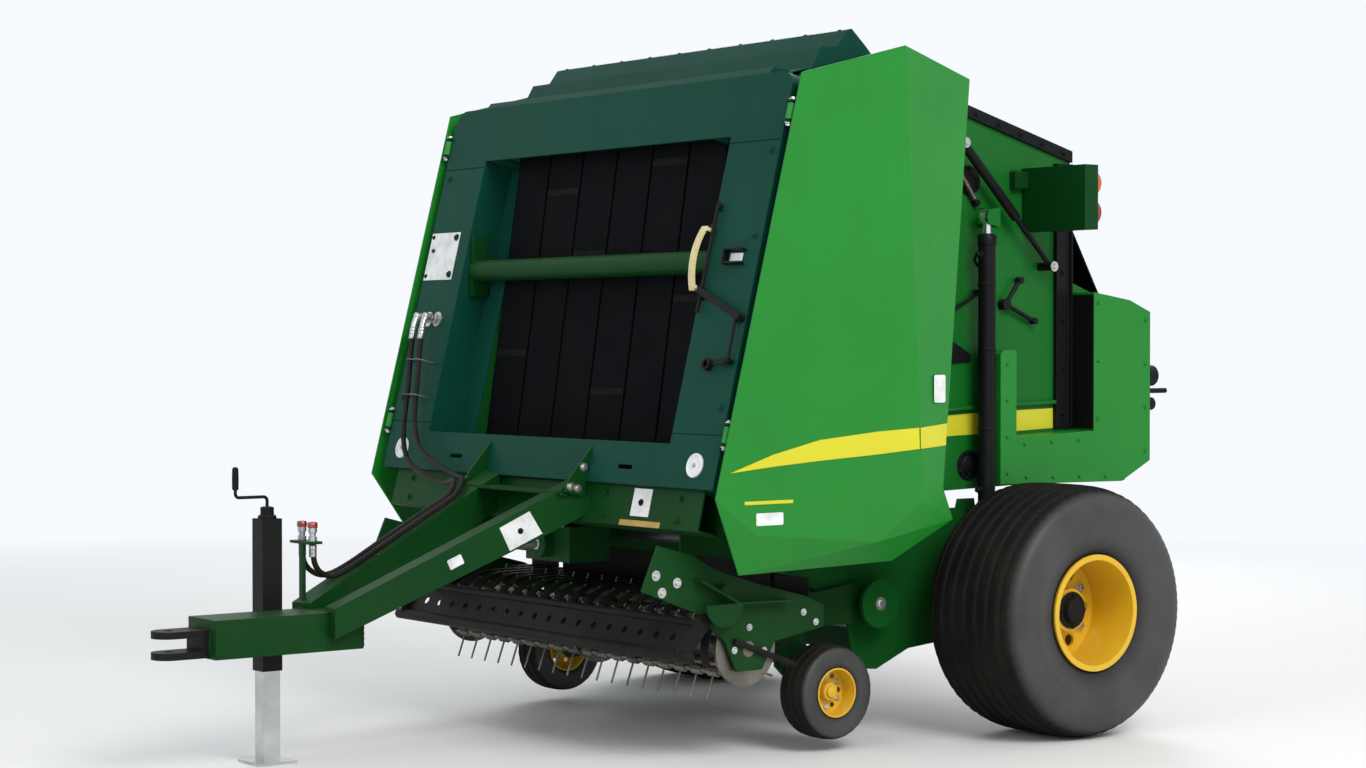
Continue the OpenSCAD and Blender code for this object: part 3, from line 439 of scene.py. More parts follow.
def metal(name, colour, darker, roughness, rust):
    """Metal mottled between two tones, with fine marks round a cross bar and spots of rust."""
    f = Finish(name)
    tone = f.mix(f.ramp(f.noise(6.0, 5.0), 0.35, 0.7), colour, darker)
    spots = f.math("MULTIPLY", f.ramp(f.noise(14.0, 6.0, 0.7), 0.6, 0.75), rust)
    tone = f.mix(spots, tone, RUST)
    scratch = f.noise(12.0, 3.0, stretch=(8.0, 90.0, 8.0))
    rough = f.math("ADD", f.math("MULTIPLY", scratch, 0.16), roughness)
    rough = f.math("ADD", rough, f.math("MULTIPLY", spots, 0.4))
    return f.done(Base_Color=tone, Metallic=0.92, Roughness=rough, Normal=f.bump(scratch, 0.12, 0.0008))


roller_steel = metal("rubbed_roller_steel", linear(150, 150, 150), linear(110, 108, 104), 0.3, 0.35)
bare_steel = metal("zinc_plated_steel", linear(205, 206, 204), linear(168, 170, 170), 0.28, 0.06)
spring_steel = metal("spring_steel", linear(126, 120, 112), linear(84, 80, 76), 0.34, 0.4)
chrome = metal("chromed_rod", linear(232, 234, 236), linear(214, 216, 220), 0.07, 0.0)

# %% [markdown]
# ## Rubber
# Belts are black rubber with a fine pebble, so they hardly shine. A tyre's tread is nearly black and dusty in
# its grooves, and its walls are smoother and paler, partly from dust and partly as a painted sheen. The pebble
# is a Voronoi bump, and the dust is patches of noise.

# %% Rubbers
WALL_DUST_AND_SHEEN_TONES = linear(58, 58, 59), linear(44, 44, 46)


def rubber(name, colour, darker, pebble, roughness, dust, shine):
    """Rubber: two dark tones, a pebble of cells, and patches of dust. Where a piece keeps a wall number it is
    smoother and paler, partly dust and partly a painted sheen, and where it keeps a hollow number the dust lies
    thicker."""
    f = Finish(name)
    wall = f.kept("wall")
    tone = f.mix(f.ramp(f.noise(7.0, 5.0), 0.3, 0.75), colour, darker)
    # Paler walls: partly dust, partly a painted sheen.
    tone = f.mix(wall, tone, f.mix(f.ramp(f.noise(5.0, 4.0), 0.35, 0.7), *WALL_DUST_AND_SHEEN_TONES))
    film = f.math("MULTIPLY", f.ramp(f.noise(4.0, 6.0, 0.7), 0.35, 0.8), dust)
    tone = f.mix(f.math("MAXIMUM", film, f.math("MULTIPLY", f.kept("hollow"), dust)), tone, DUST)
    grain = f.bump(f.add("ShaderNodeTexVoronoi", "Distance", Vector=f.place, Scale=pebble), 0.35, 0.0008)
    dull = f.math("ADD", f.math("MULTIPLY", film, 0.3), roughness)
    return f.done(Base_Color=tone, Roughness=f.math("SUBTRACT", dull, f.math("MULTIPLY", wall, 0.3)),
                  Normal=f.bump(f.noise(160.0, 2.0), 0.2, 0.0006, grain),
                  Specular_IOR_Level=f.math("ADD", f.math("MULTIPLY", wall, 0.35), shine))


belt_rubber = rubber("belt_rubber", linear(10, 12, 16), linear(6, 8, 11), 260.0, 0.7, 0.006, 0.04)
tyre_rubber = rubber("tyre_rubber", linear(25, 26, 28), linear(15, 16, 18), 520.0, 0.76, 0.04, 0.05)
hose_rubber = rubber("hose_rubber", linear(24, 24, 26), linear(16, 16, 18), 700.0, 0.5, 0.06, 0.12)


# %% [markdown]
# ## Lenses and plates
# A lamp lens is coloured plastic with a pattern of small prisms moulded inside. The prisms are too small to
# model, so two crossed waves tilt the surface and paint a warm glint into its colour. A reflective plate is
# film with a fine honeycomb, soiled in patches.

# %% Lenses and plates
PAINTED_PRISM_GLINT = (1.0, 0.8, 0.6, 1.0)


def lens(name, colour, deep):
    """Coloured plastic: crossed waves for the prisms and a painted glint, darker where the noise gathers dirt,
    part see-through.
    """
    f = Finish(name)
    waves = [f.add("ShaderNodeTexWave", "Fac", {"bands_direction": d}, Vector=f.place, Scale=38.0,
                   Distortion=0.0) for d in "YZ"]
    prism = f.math("MULTIPLY", *waves)
    tone = f.mix(f.ramp(f.noise(20.0, 3.0), 0.3, 0.8), colour, deep)
    # Painted highlight: where the prism waves peak, the colour turns towards a warm glint.
    tone = f.mix(f.math("MULTIPLY", prism, 0.12), tone, PAINTED_PRISM_GLINT)
    return f.done(Base_Color=tone, Roughness=0.22, Normal=f.bump(prism, 0.5, 0.002), Coat_Weight=0.5,
                  Transmission_Weight=0.25)


def film(name, colour, edge):
    """Reflective film: honeycomb cells in the bump and a slight soiling in the colour."""
    f = Finish(name)
    tone = f.mix(f.ramp(f.noise(18.0, 4.0), 0.45, 0.85), colour, edge)
    cells = f.add("ShaderNodeTexVoronoi", "Distance", {"feature": "DISTANCE_TO_EDGE"}, Vector=f.place,
                  Scale=240.0)
    return f.done(Base_Color=tone, Roughness=0.3, Normal=f.bump(cells, 0.2, 0.0005), Coat_Weight=0.4)


amber_plastic = lens("amber_lens_plastic", linear(224, 112, 12), linear(184, 80, 8))
red_plastic = lens("red_lens_plastic", linear(176, 14, 12), linear(120, 6, 6))
white_film = film("white_plate_film", linear(226, 228, 228), linear(184, 184, 176))
cream_plastic = film("cream_guide_plastic", linear(214, 200, 146), linear(178, 160, 108))
ochre_film = film("ochre_label_film", linear(176, 142, 44), linear(120, 92, 30))

# %% [markdown]
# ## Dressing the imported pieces
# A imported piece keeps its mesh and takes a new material. A table from finish to pieces says who wears what.
# The paints ease their normals over each edge, which gives folded steel the rounded lip that catches light.

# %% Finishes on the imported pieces
WEARS = {
    frame_shaded_green: ["front_frame", "top_rails"],
    deep_shaded_green: ["axle", "drawbar", "gearbox", "lamp_boards", "guide_tube", "pickup_frame"],
    door_green: ["shield_left", "shield_right", "gate_covers"],
    side_shaded_green: ["gate_sides"],
    wall_shaded_green: ["side_walls"],
    # The gate_edges, the rear post and top flange of the gate's green side sheets, are black as painted shade
    # of that flange.
    black_paint: ["hitch", "jack_tube", "strippers", "windguard", "gate_edges", "guide_lever", "tension_struts",
                  "rear_latch", "barrel_left", "barrel_right"],
    roller_steel: ["front_rollers", "gate_rollers"],
    bare_steel: ["jack_leg", "input_shaft", "chain_drive"],
    hose_rubber: ["hoses"],
    cream_plastic: ["guide_shoe"],
    spring_steel: ["pickup_reel"],
    chrome: ["rod_left", "rod_right"],
    belt_rubber: ["front_belts", "gate_belts"],
    tyre_rubber: ["tyre_left", "tyre_right", "gauge_tyre_left", "gauge_tyre_right"],
    rim_paint: ["rim_left", "rim_right", "gauge_rim_left", "gauge_rim_right"],
    stripe_paint: ["stripe_left", "stripe_right", "gate_stripes"],
    white_film: ["front_plates"],
    amber_plastic: ["amber_lamps"],
    red_plastic: ["red_lamps"],
}
for material, names in WEARS.items():
    for name in [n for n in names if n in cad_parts]:
        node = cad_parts[name]
        node.data.materials.clear()
        node.data.materials.append(material)
undressed = sorted(set(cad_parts) - {n for names in WEARS.values() for n in names})
print("nodes without a finish:", undressed)

# %% [markdown]
# ## Ribbed tyres
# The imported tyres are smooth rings. A tyre's section is drawn as its corners, and cutting each corner at a
# quarter and three quarters, a few times over, rounds it without ever leaving the outline. Grooves are then
# pressed into the radius where the section crosses the tread, and rings and a fine serration are raised on
# the walls.

# %% The section of a tyre
def rounded_line(points, times):
    """Corner cutting: each pair a, b gives 3a/4 + b/4 and a/4 + 3b/4, and the two ends stay."""
    for _ in range(times):
        a, b = points[:-1], points[1:]
        cut = np.stack([0.75 * a + 0.25 * b, 0.25 * a + 0.75 * b], 1).reshape(-1, 2)
        points = np.concatenate([points[:1], cut, points[-1:]])
    return points


def walked(points):
    """Length of the way along a line, from its first point to each of its points."""
    return np.concatenate([[0], np.cumsum(np.linalg.norm(np.diff(points, axis=0), axis=1))])


def at_shares(points, share):
    """Points of a flat line at shares of its length, from 0 to 1."""
    way = walked(points)
    return np.stack([np.interp(share * way[-1], way, points[:, k]) for k in range(2)], -1)


def even_steps(points, stops, counts):
    """The same line walked at even steps between stops, which are shares of its length."""
    shares = [np.linspace(a, b, n, endpoint=False) for a, b, n in zip(stops, stops[1:], counts)]
    return at_shares(points, np.concatenate([*shares, [1.0]]))


def tyre_part(centre, outer, width, bead, ribs, depth, rounds, at_wall=24, at_tread=120):
    """Torus grid: radius and height walk the section, the angle goes round, and r loses depth in each groove.
    Returns the part and two numbers for each point: how deep in a groove it lies, and how far out on a wall."""
    half = np.array([(bead / 2 + 0.0004, 0.40 * width), (bead / 2 + 0.08 * width, 0.46 * width),
                     (0.38 * outer, 0.499 * width), (0.44 * outer, 0.49 * width), (0.48 * outer, 0.43 * width),
                     (0.497 * outer, 0.32 * width), (0.5 * outer, 0.16 * width), (0.5 * outer, 0.0)])
    line = rounded_line(np.concatenate([half, half[-2::-1] * [1, -1]]), 3)
    r, y = even_steps(line, [0.0, 0.3, 0.7, 1.0], [at_wall, at_tread, at_wall]).T
    angle = np.linspace(0, 2 * np.pi, rounds, endpoint=False)
    pitch = 0.82 * width / ribs
    from_groove = np.abs((y / pitch + 0.5 * (ribs % 2 == 0) + 0.5) % 1.0 - 0.5) * pitch
    across = np.clip((0.17 * pitch - from_groove) / (0.07 * pitch) + 0.5, 0, 1) * (np.abs(y) < 0.40 * width)
    hollow = np.broadcast_to(across, (rounds, len(r))).copy()
    shoulder = (np.abs(y) > 0.36 * width) & (r > 0.465 * outer)
    hollow += shoulder * (np.arange(rounds)[:, None] % 3 == 0) * 0.32
    side = np.sign(y) * (r < 0.47 * outer)
    rings = sum(np.exp(-((r - ring * outer) / (0.006 * outer)) ** 2) for ring in (0.262, 0.335, 0.445))
    teeth = ((r > 0.452 * outer) & (r < 0.468 * outer)) * (np.arange(rounds)[:, None] % 2)
    radius = r - depth * hollow
    height = y + side * 0.0022 * (rings + teeth) * (outer / 0.99)
    height = np.clip(height, -0.4995 * width, 0.4995 * width)
    points = np.stack([radius * np.cos(angle)[:, None], height, radius * np.sin(angle)[:, None]], -1)
    wall = np.broadcast_to(np.clip(np.abs(y) / width * 16 - 6.6, 0, 1), hollow.shape)
    numbers = {"hollow": hollow.ravel().clip(0, 1), "wall": wall.ravel()}
    return outward(grid(points + np.asarray(centre, float), wrapped=True)), numbers


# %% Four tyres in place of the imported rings
HUB, GAUGE_HUB = at(0, 1.110, 0.495), at(1.0, 0.885, 0.225)
TYRES = (("tyre", "wheel", HUB, (0.99, 0.5, 0.43, 7, 0.011, 180)),
         ("gauge_tyre", "gauge_wheel", GAUGE_HUB, (0.36, 0.15, 0.18, 3, 0.005, 96, 16, 48)))
for side, s in SIDES:
    for kind, wheel, hub, form in TYRES:
        part, numbers = tyre_part(hub * [1, s, 1], *form)
        tyre = piece(f"ribbed_{kind}_{side}", part, tyre_rubber, f"{wheel}_{side}", "tyre_rubber", 50.0,
                     **numbers)
        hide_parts(f"{kind}_{side}")

# %% [markdown]
# ## Wheel nuts, hub caps and valves
# A circle of places comes from one cosine and one sine. The nuts sit on the dished plate of the rim, a dark
# cap closes the hub, and a valve stem leans out of the dish.

# %% Circles of places
def circle(centre, radius, count, start=0.0):
    """Places (x + r cos a, y, z + r sin a) round a cross axis."""
    a = start + np.arange(count) * 2 * np.pi / count
    return np.asarray(centre, float) + radius * np.stack([np.cos(a), 0 * a, np.sin(a)], -1)


CAP = [(0.0, 0.030), (0.020, 0.030), (0.034, 0.024), (0.038, 0.016), (0.038, 0.004), (0.052, 0.003),
       (0.054, -0.002)]
STUD = turned([(0.008, 0.0), (0.008, 0.026), (0.006, 0.029)], sides=10)
for side, s in SIDES:
    out = (0, s, 0)
    hub = HUB * [1, s, 1]
    ring = circle(hub + [0, s * 0.0057, 0], 0.150, 6, math.pi / 6)
    nuts = [bolts(ring, out, 0.026), copies(STUD, ring, out)]
    piece(f"wheel_nuts_{side}", nuts, bare_steel, f"wheel_{side}", "bare_steel")
    cap = turned([(r * 1.35, h) for r, h in CAP], hub + [0, s * 0.0945, 0], out, 40)
    cap_bolts = bolts(circle(hub + [0, s * 0.0965, 0], 0.064, 4), out, 0.010)
    piece(f"hub_cap_{side}", [cap, cap_bolts], black_paint, f"wheel_{side}", "black_steel")
    stem = hub + [0.120, s * 0.012, 0.130]
    reach = np.linspace(0, 1, 6)[:, None]
    valve = tube(stem + reach * [0.030, s * 0.045, 0.032], [0.006, 0.006, 0.005, 0.0055, 0.0055, 0.003], 12)
    piece(f"valve_{side}", valve, black_paint, f"wheel_{side}", "black_steel")
    hub = GAUGE_HUB * [1, s, 1]
    small = turned([(r * 0.62, h * 0.5) for r, h in CAP], hub + [0, s * 0.0283, 0], out, 28)
    piece(f"gauge_hub_cap_{side}", small, rim_paint, f"gauge_wheel_{side}", "rim_yellow")
    nuts = bolts(circle(hub + [0, s * 0.0015, 0], 0.0625, 6, math.pi / 6), out, 0.013)
    piece(f"gauge_wheel_nuts_{side}", nuts, bare_steel, f"gauge_wheel_{side}", "bare_steel")

# %% [markdown]
# ## Bearings and their bolts
# Every roller runs in a flanged bearing bolted to the sheet outside. The flange, the raised seat and the end
# of the shaft are one turned profile, and three bolts hold it. The rollers are kept as (x, z, radius), since
# the belts and the chain are drawn round them further on.

# %% Flanged bearings
SEAT = [(0.0, 0.019), (0.018, 0.019), (0.020, 0.017), (0.020, 0.013), (0.034, 0.013), (0.038, 0.010),
        (0.040, 0.006), (0.060, 0.005), (0.062, -0.001)]
FRONT_WHEELS = np.array([(1.2504, 2.3597, 0.060), (1.420, 1.120, 0.075), (1.180, 0.900, 0.060),
                         (0.8004, 2.3597, 0.060)])
GATE_WHEELS = np.array([(0.110, 2.200, 0.060), (0.110, 1.050, 0.060), (-0.640, 1.090, 0.060),
                        (-0.760, 1.480, 0.060), (-0.370, 2.130, 0.060)])
CHAIN_WHEELS = np.array([(1.420, 1.120, 0.0813), (1.560, 0.765, 0.0663), (0.760, 0.800, 0.0963)])


def bearings(wheels, y):
    """Seats with three bolts each, at both ends of every roller: y is the outside of the sheet."""
    parts = []
    for _, s in SIDES:
        places, out = at(wheels[:, 0], s * y, wheels[:, 1]), (0, s, 0)
        parts.append(copies(turned(SEAT, sides=28), places, out))
        rings = [circle(p + [0, s * 0.005, 0], 0.050, 3, math.pi / 2) for p in places]
        parts.append(bolts(np.concatenate(rings), out, 0.013))
    return merge(*parts)


front = bearings(np.concatenate([FRONT_WHEELS, CHAIN_WHEELS[2:]]), 0.712)
piece("front_bearings", front, black_paint, "chassis", "black_steel")
piece("gate_bearings", bearings(GATE_WHEELS, 0.728), black_paint, "gate", "black_steel")

# %% [markdown]
# ## Bolts over the sheets
# Rows of bolts are straight lines of places, evenly spaced between two ends. Those on the leaning frame use
# the frame's own axes, and stand out along its normal.

# %% Rows of bolts
def row(a, b, count):
    """Evenly spaced places from a to b."""
    return np.linspace(np.asarray(a, float), np.asarray(b, float), count)


def rows(y, *ends):
    """Rows on an upright sheet at y, each given as (x, z) of its two ends and a count."""
    return np.concatenate([row(at(x0, y, z0), at(x1, y, z1), count) for x0, z0, x1, z1, count in ends])


on_frame = [on_face(0, y, v) for y in (-1.085, 1.085) for v in (0.30, 0.62, 0.94, 1.26)]
on_frame += [on_face(0.003, -0.925, v) for v in (0.835, 0.995)]
piece("frame_bolts", bolts(np.array(on_frame), FACE, 0.016), frame_shaded_green, "chassis", "dark_green_paint")
on_beam = [on_face(-0.030, s * y, v) for s in (-1, 1) for y in (0.46, 0.92) for v in (-0.115, -0.035)]
piece("beam_bolts", bolts(np.array(on_beam), FACE, 0.016), deep_shaded_green, "chassis", "dark_green_paint")
ears = on_face([0.030, 0.062, 0.022], 0.352, [-0.035, -0.035, 0.05])
axle_feet = at([-0.08, -0.08, 0.08, 0.08], 0.732, [0.42, 0.57, 0.42, 0.57])
gearbox_feet = row(at(1.69, -0.12, 0.835), at(1.69, 0.12, 0.835), 2)
low = [bolts_both(ears, 0.018), bolts_both(axle_feet, 0.024), bolts(gearbox_feet, RISING, 0.018)]
piece("drawbar_bolts", low, bare_steel, "chassis", "bare_steel")

cover = rows(0.850, (-0.800, 1.09, -0.800, 1.64, 4), (-0.515, 1.23, -0.515, 1.71, 3),
             (-0.40, 1.145, -0.09, 1.135, 3), (0.008, 1.02, 0.008, 1.46, 4), (-0.56, 0.99, -0.10, 1.00, 4))
piece("cover_bolts", bolts_both(cover, 0.010), door_green, "gate", "green_paint")
# The bolts on the gate's post and brow are black to match the gate_edges under them, which are painted shade.
post, brow = rows(0.736, (-0.4225, 1.25, -0.4225, 2.23, 6)), rows(0.744, (-0.42, 2.332, 0.33, 2.5346, 7))
piece("gate_bolts", bolts_both(np.concatenate([post, brow]), 0.014), black_paint, "gate", "black_steel")

pivot_plate = at([1.850, 1.755, 1.823], 0.945, [0.713, 0.682, 0.650])
end_plate = at([1.16, 1.10, 1.42, 1.49, 1.35], 0.945, [0.54, 0.50, 0.50, 0.42, 0.41])
plates = [bolts_both(pivot_plate, 0.020), bolts_both(end_plate, 0.014)]
piece("pickup_bolts", plates, bare_steel, "pickup", "bare_steel")
sheets = [plate(rectangle(0.101, 0.039), at(1.114, s * 0.823, 0.625), ACROSS, RISING, 0.004, 0.001)
          for _, s in SIDES]
piece("pickup_end_sheets", sheets, black_paint, "pickup", "black_steel")

# %% [markdown]
# ## Coil springs of the tines
# Each tine leaves its bar from a coil. Seen from any distance a coil is a ribbed sleeve, so it is a short
# turned shape with a few ridges and only some dozens of faces, set seventy-two times along the four bars.

# %% Seventy-two coils
REEL, BAR_CIRCLE = at(1.420, 0, 0.420), 0.12
ridge = np.linspace(-0.030, 0.030, 9)
sleeve = turned(np.stack([np.where(np.arange(9) % 2, 0.0215, 0.0165), ridge], -1), sides=8)
along = -0.895 + (np.arange(18) + 0.5) * 1.79 / 18
quarter = np.radians(45 + 90 * np.arange(4))[:, None]
coil_places = np.stack(np.broadcast_arrays(REEL[0] + BAR_CIRCLE * np.cos(quarter), along[None, :],
                                           REEL[2] + BAR_CIRCLE * np.sin(quarter)), -1).reshape(-1, 3)
piece("tine_coils", copies(sleeve, coil_places, ACROSS), spring_steel, "reel", "tine_steel")

# %% [markdown]
# ## A loop round wheels
# A belt or a chain follows its wheels on arcs and crosses between them on straight runs that touch both. The
# outward direction at each run comes from the two radii, and all that follows the loop is found from it.

# %% Arcs and straight runs
def outward_of_runs(wheels):
    """For wheels (x, z, r) in clockwise order: with u from a wheel to the next and s = (r - r') / distance, the
    run's outward direction is s u + sqrt(1 - s^2) times u turned left."""
    ahead = np.roll(wheels, -1, 0)
    gap = ahead[:, :2] - wheels[:, :2]
    far = np.linalg.norm(gap, axis=1, keepdims=True)
    u = gap / far
    s = (wheels[:, 2:] - ahead[:, 2:]) / far
    return s * u + np.sqrt(1 - s * s) * np.stack([-u[:, 1], u[:, 0]], -1)


def run(wheels, i):
    """Both ends of the straight run that leaves wheel i."""
    out = outward_of_runs(wheels)[i]
    a, b = wheels[i], wheels[(i + 1) % len(wheels)]
    return a[:2] + a[2] * out, b[:2] + b[2] * out


def loop_line(wheels, steps=24):
    """The closed line: each wheel's arc turns clockwise from the run that comes to the run that leaves."""
    out = outward_of_runs(wheels)
    leave = np.arctan2(out[:, 1], out[:, 0])
    come = np.roll(leave, 1)
    angle = come[:, None] - np.linspace(0, 1, steps) * ((come - leave) % (2 * np.pi))[:, None]
    line = wheels[:, None, :2] + wheels[:, None, 2:] * np.stack([np.cos(angle), np.sin(angle)], -1)
    return np.concatenate([line.reshape(-1, 2), line[0, :1]])


# %% [markdown]
# ## Belt lacing
# A belt is closed by a row of wire hooks. Each hook is a small softened plate lying on the belt, and each
# belt has its row at another height, as belts of the same set never stay in step.

# %% Hooks across the belts
BELT, BELT_PITCH = 0.0083, 0.235
HOOK = plate(rectangle(0.0035, 0.014), (0, 0, -0.0005), AHEAD, ACROSS, 0.0022, 0.0008)


def lacing(wheels, i, shares):
    """Rows of hooks on the outer face of the run that leaves wheel i, one row a belt, at its share of it."""
    low, high = run(wheels + [0, 0, BELT], i)
    step = high - low
    middles = (np.arange(6) - 2.5) * BELT_PITCH
    places = [at(low[0] + t * step[0], y, low[1] + t * step[1])
              for y0, t in zip(middles, shares) for y in y0 + np.linspace(-0.102, 0.102, 16)]
    return set_on(HOOK, np.array(places), (0, -1, 0), (step[0], 0, step[1]))


front = lacing(FRONT_WHEELS, 0, [0.70, 0.17, 0.38, 0.82, 0.10, 0.53])
piece("front_lacing", front, black_paint, "chassis", "black_steel")
gate = [lacing(GATE_WHEELS, 3, [0.2, 0.75, 0.45, 0.62, 0.3, 0.85]),
        lacing(GATE_WHEELS, 2, [0.5, 0.3, 0.7, 0.4, 0.6, 0.25])]
piece("gate_lacing", gate, black_paint, "gate", "black_steel")

# %% [markdown]
# ## A roller chain
# A chain is two rows of small oval links with a pin at each step. Walking the loop in even steps gives each
# link its place and its direction, and one set of arrays sets them all.

# %% Links and pins round the toothed wheels
CHAIN_PITCH, CHAIN_Y = 0.0254, -0.738
line = loop_line(CHAIN_WHEELS)
count = int(round(walked(line)[-1] / CHAIN_PITCH))
walk = at_shares(line, np.arange(count + 1) / count)
middles, ways = (walk[1:] + walk[:-1]) / 2, walk[1:] - walk[:-1]
turn = np.linspace(0, 2 * np.pi, 14, endpoint=False)
oval = np.stack([0.0075 * np.cos(turn) + 0.0095 * np.sign(np.cos(turn)), 0.0072 * np.sin(turn)], -1)
link = plate(oval, (0, 0, 0), AHEAD, ACROSS, 0.0022, 0.0006)
pin = turned([(0.0036, -0.0102), (0.0040, -0.0100), (0.0040, 0.0100), (0.0036, 0.0102)], sides=8)
along = np.stack([ways[:, 0], 0 * ways[:, 0], ways[:, 1]], -1)
square = np.stack([-ways[:, 1], 0 * ways[:, 0], ways[:, 0]], -1)
sides = [set_on(link, at(middles[:, 0], CHAIN_Y + y, middles[:, 1]), along, square) for y in (-0.0098, 0.0098)]
pins = set_on(pin, at(walk[1:, 0], CHAIN_Y - 0.001, walk[1:, 1]), along, square)
piece("chain_links", [*sides, pins], spring_steel, "chassis", "bare_steel")
print("links in the chain:", count)

# %% [markdown]
# ## Lamps and reflectors
# A lens is moulded in rings, and a dark bezel holds it. Both are profiles turned about the lamp's own axis,
# and face back. The round reflectors on the frame have a raised lip, and a screw through the middle.

# %% Rings on lamps and reflectors
LENS = [(0.0, 0.003), (0.009, 0.003), (0.011, 0.001), (0.019, 0.001), (0.021, 0.003), (0.029, 0.003),
        (0.031, 0.001), (0.039, 0.001), (0.041, 0.004), (0.047, 0.004), (0.0502, 0.001), (0.0502, -0.004)]
BEZEL = [(0.049, 0.006), (0.053, 0.006), (0.055, 0.003), (0.055, -0.010), (0.049, -0.010)]
LIP = [(0.0, 0.0012), (0.034, 0.0008), (0.036, 0.003), (0.042, 0.003), (0.0446, 0.001), (0.0446, -0.003)]
LAMP_Y, AMBER_Z, RED_Z = 1.010, 2.190, 2.072
REFLECTOR_Y, REFLECTOR_V = 1.004, 0.085
for name, z, finish in (("amber", AMBER_Z, amber_plastic), ("red", RED_Z, red_plastic)):
    rings = [turned(LENS, at(-0.310, s * LAMP_Y, z), BACK, 36) for _, s in SIDES]
    piece(f"{name}_lens_rings", rings, finish, "gate", f"{name}_lens")
rib = plate(rectangle(0.003, 0.040), (0, 0, -0.001), AHEAD, ACROSS, 0.004)
rib_places = np.array([at(-0.290, s * y, 2.065) for _, s in SIDES for y in np.linspace(0.790, 0.900, 9)])
piece("red_lens_ribs", set_on(rib, rib_places, (0, -1, 0), RISING), red_plastic, "gate", "red_lens")
bezels = [turned(BEZEL, at(-0.275, s * LAMP_Y, z), BACK, 36) for _, s in SIDES for z in (AMBER_Z, RED_Z)]
piece("lamp_bezels", bezels, black_paint, "gate", "black_steel")
lips = [turned(LIP, on_face(0.006, s * REFLECTOR_Y, REFLECTOR_V), FACE, 40) for _, s in SIDES]
piece("reflector_lips", lips, white_film, "chassis", "white_plate")
screws = bolts(np.array([on_face(0.007, s * REFLECTOR_Y, REFLECTOR_V) for _, s in SIDES]), FACE, 0.010)
piece("reflector_screws", screws, bare_steel, "chassis", "bare_steel")

# %% [markdown]
# ## Plates and labels
# Each label is a thin softened plate, a little proud of its sheet, with rounded corners drawn as short arcs.
# Those on the drawbar's arms need the arm's own axes: along it, out of its side, and up.

# %% Plates with rounded corners
def rounded_box(a, b, r, steps=4):
    """Outline of an a by b rectangle about the origin, its corners quarter circles of radius r."""
    quarter = np.linspace(0, np.pi / 2, steps)
    corners = [(x * (a / 2 - r), y * (b / 2 - r), quarter + k * np.pi / 2)
               for k, (x, y) in enumerate([(1, 1), (-1, 1), (-1, -1), (1, -1)])]
    return np.concatenate([np.stack([x + r * np.cos(turn), y + r * np.sin(turn)], -1)
                           for x, y, turn in corners])


def label(middle, u, w, a, b):
    """Plain plate of a by b about its middle, its length along u and its height along w."""
    return plate(rounded_box(a, b, min(a, b) * 0.12), middle, u, w, 0.0015, 0.0004)


ARM_TOP, ARM_LOW = at(1.69, 0.300, 0.985), at(2.70, 0.110, 0.528)
arm_along = unit(ARM_LOW - ARM_TOP)
arm_flat = unit(arm_along * [1, 1, 0])
arm_out = np.array([-arm_flat[1], arm_flat[0], 0])
arm_up = np.cross(arm_out, arm_along)
on_arm = ARM_TOP + 0.545 * (ARM_LOW - ARM_TOP) + 0.0502 * arm_out
chassis_labels = [label(on_arm, -arm_along, -arm_up, 0.060, 0.038),
                  label(on_face(0.0, 1.004, 0.860), ACROSS, UP, 0.072, 0.030)]
piece("chassis_labels", chassis_labels, white_film, "chassis", "white_plate")
strip = label(on_face(-0.0300, 0.700, -0.1385), ACROSS, UP, 0.250, 0.022)
piece("beam_label", strip, ochre_film, "chassis", "yellow_stripe")
for side, s in SIDES:
    small = label(at(1.517, s * 1.182, 0.915), (-s, 0, 0), RISING, 0.125, 0.045)
    tall = label(at(0.666, s * 1.1562, 1.372), (-0.97 * s, -0.235, 0), RISING, 0.076, 0.105)
    piece(f"door_labels_{side}", [small, tall], white_film, f"door_{side}", "white_plate")
    line = label(at(1.521, s * 1.182, 0.975), (-s, 0, 0), RISING, 0.225, 0.013)
    piece(f"door_line_{side}", line, stripe_paint, f"door_{side}", "yellow_stripe")

# %% Dark screws through the white plates
on_plate = ARM_TOP + 0.301 * arm_flat + 0.0532 * arm_out + [0, 0, -0.1425]
corners = np.array([on_face(0.003, y, v) for y in (-1.106, -0.920) for v in (0.830, 1.000)])
screws = [bolts(on_plate, arm_out, 0.012), bolts(on_face(-0.027, 0.690, -0.060), FACE, 0.014),
          bolts(corners, FACE, 0.010)]
piece("plate_screws", screws, black_paint, "chassis", "black_steel")

# %% [markdown]
# ## Hemmed doors
# The edge of a thin door is folded back on itself, so it shows as a narrow bead that catches the light. The
# bead is a tube along the door's outline. Each hinge pin is closed by a head above and a nut below.

# %% Hems and hinge pins
DOOR_Y, HINGE_Y = 1.1795, 1.1505
front_top = on_face(0.004, DOOR_Y, 1.542)
DOOR = np.array([at(1.760, DOOR_Y, 0.993), front_top, front_top + [-0.498, 0, 0.130],
                 front_top + [-0.920, -0.100, 0.038], at(0.643, DOOR_Y - 0.033, 0.994),
                 at(0.581, DOOR_Y - 0.047, 0.875), at(0.860, DOOR_Y - 0.080, 0.730),
                 at(1.600, DOOR_Y - 0.070, 0.715), at(1.760, DOOR_Y, 0.993)])
for side, s in SIDES:
    outline = DOOR * [1, s, 1]
    edges = [tube(row(a, b, 12), 0.0036, 8, (0.3, 1, 0.2)) for a, b in zip(outline[:-1], outline[1:])]
    piece(f"door_hem_{side}", edges, door_green, f"door_{side}", "green_paint")
    heads = [bolts(on_face(0, s * HINGE_Y, v + end * 0.044), end * UP, 0.016)
             for v in (0.200, 1.400) for end in (1, -1)]
    piece(f"hinge_pin_heads_{side}", heads, bare_steel, "chassis", "bare_steel")

# %% [markdown]
# ## Hose ends and clips
# The hoses are already there as tubes. Where they leave the frame they screw into a bulkhead and turn down in
# steel elbows, at the tongue they end in crimped sleeves and capped couplings, and wire clips hold them on
# the way.

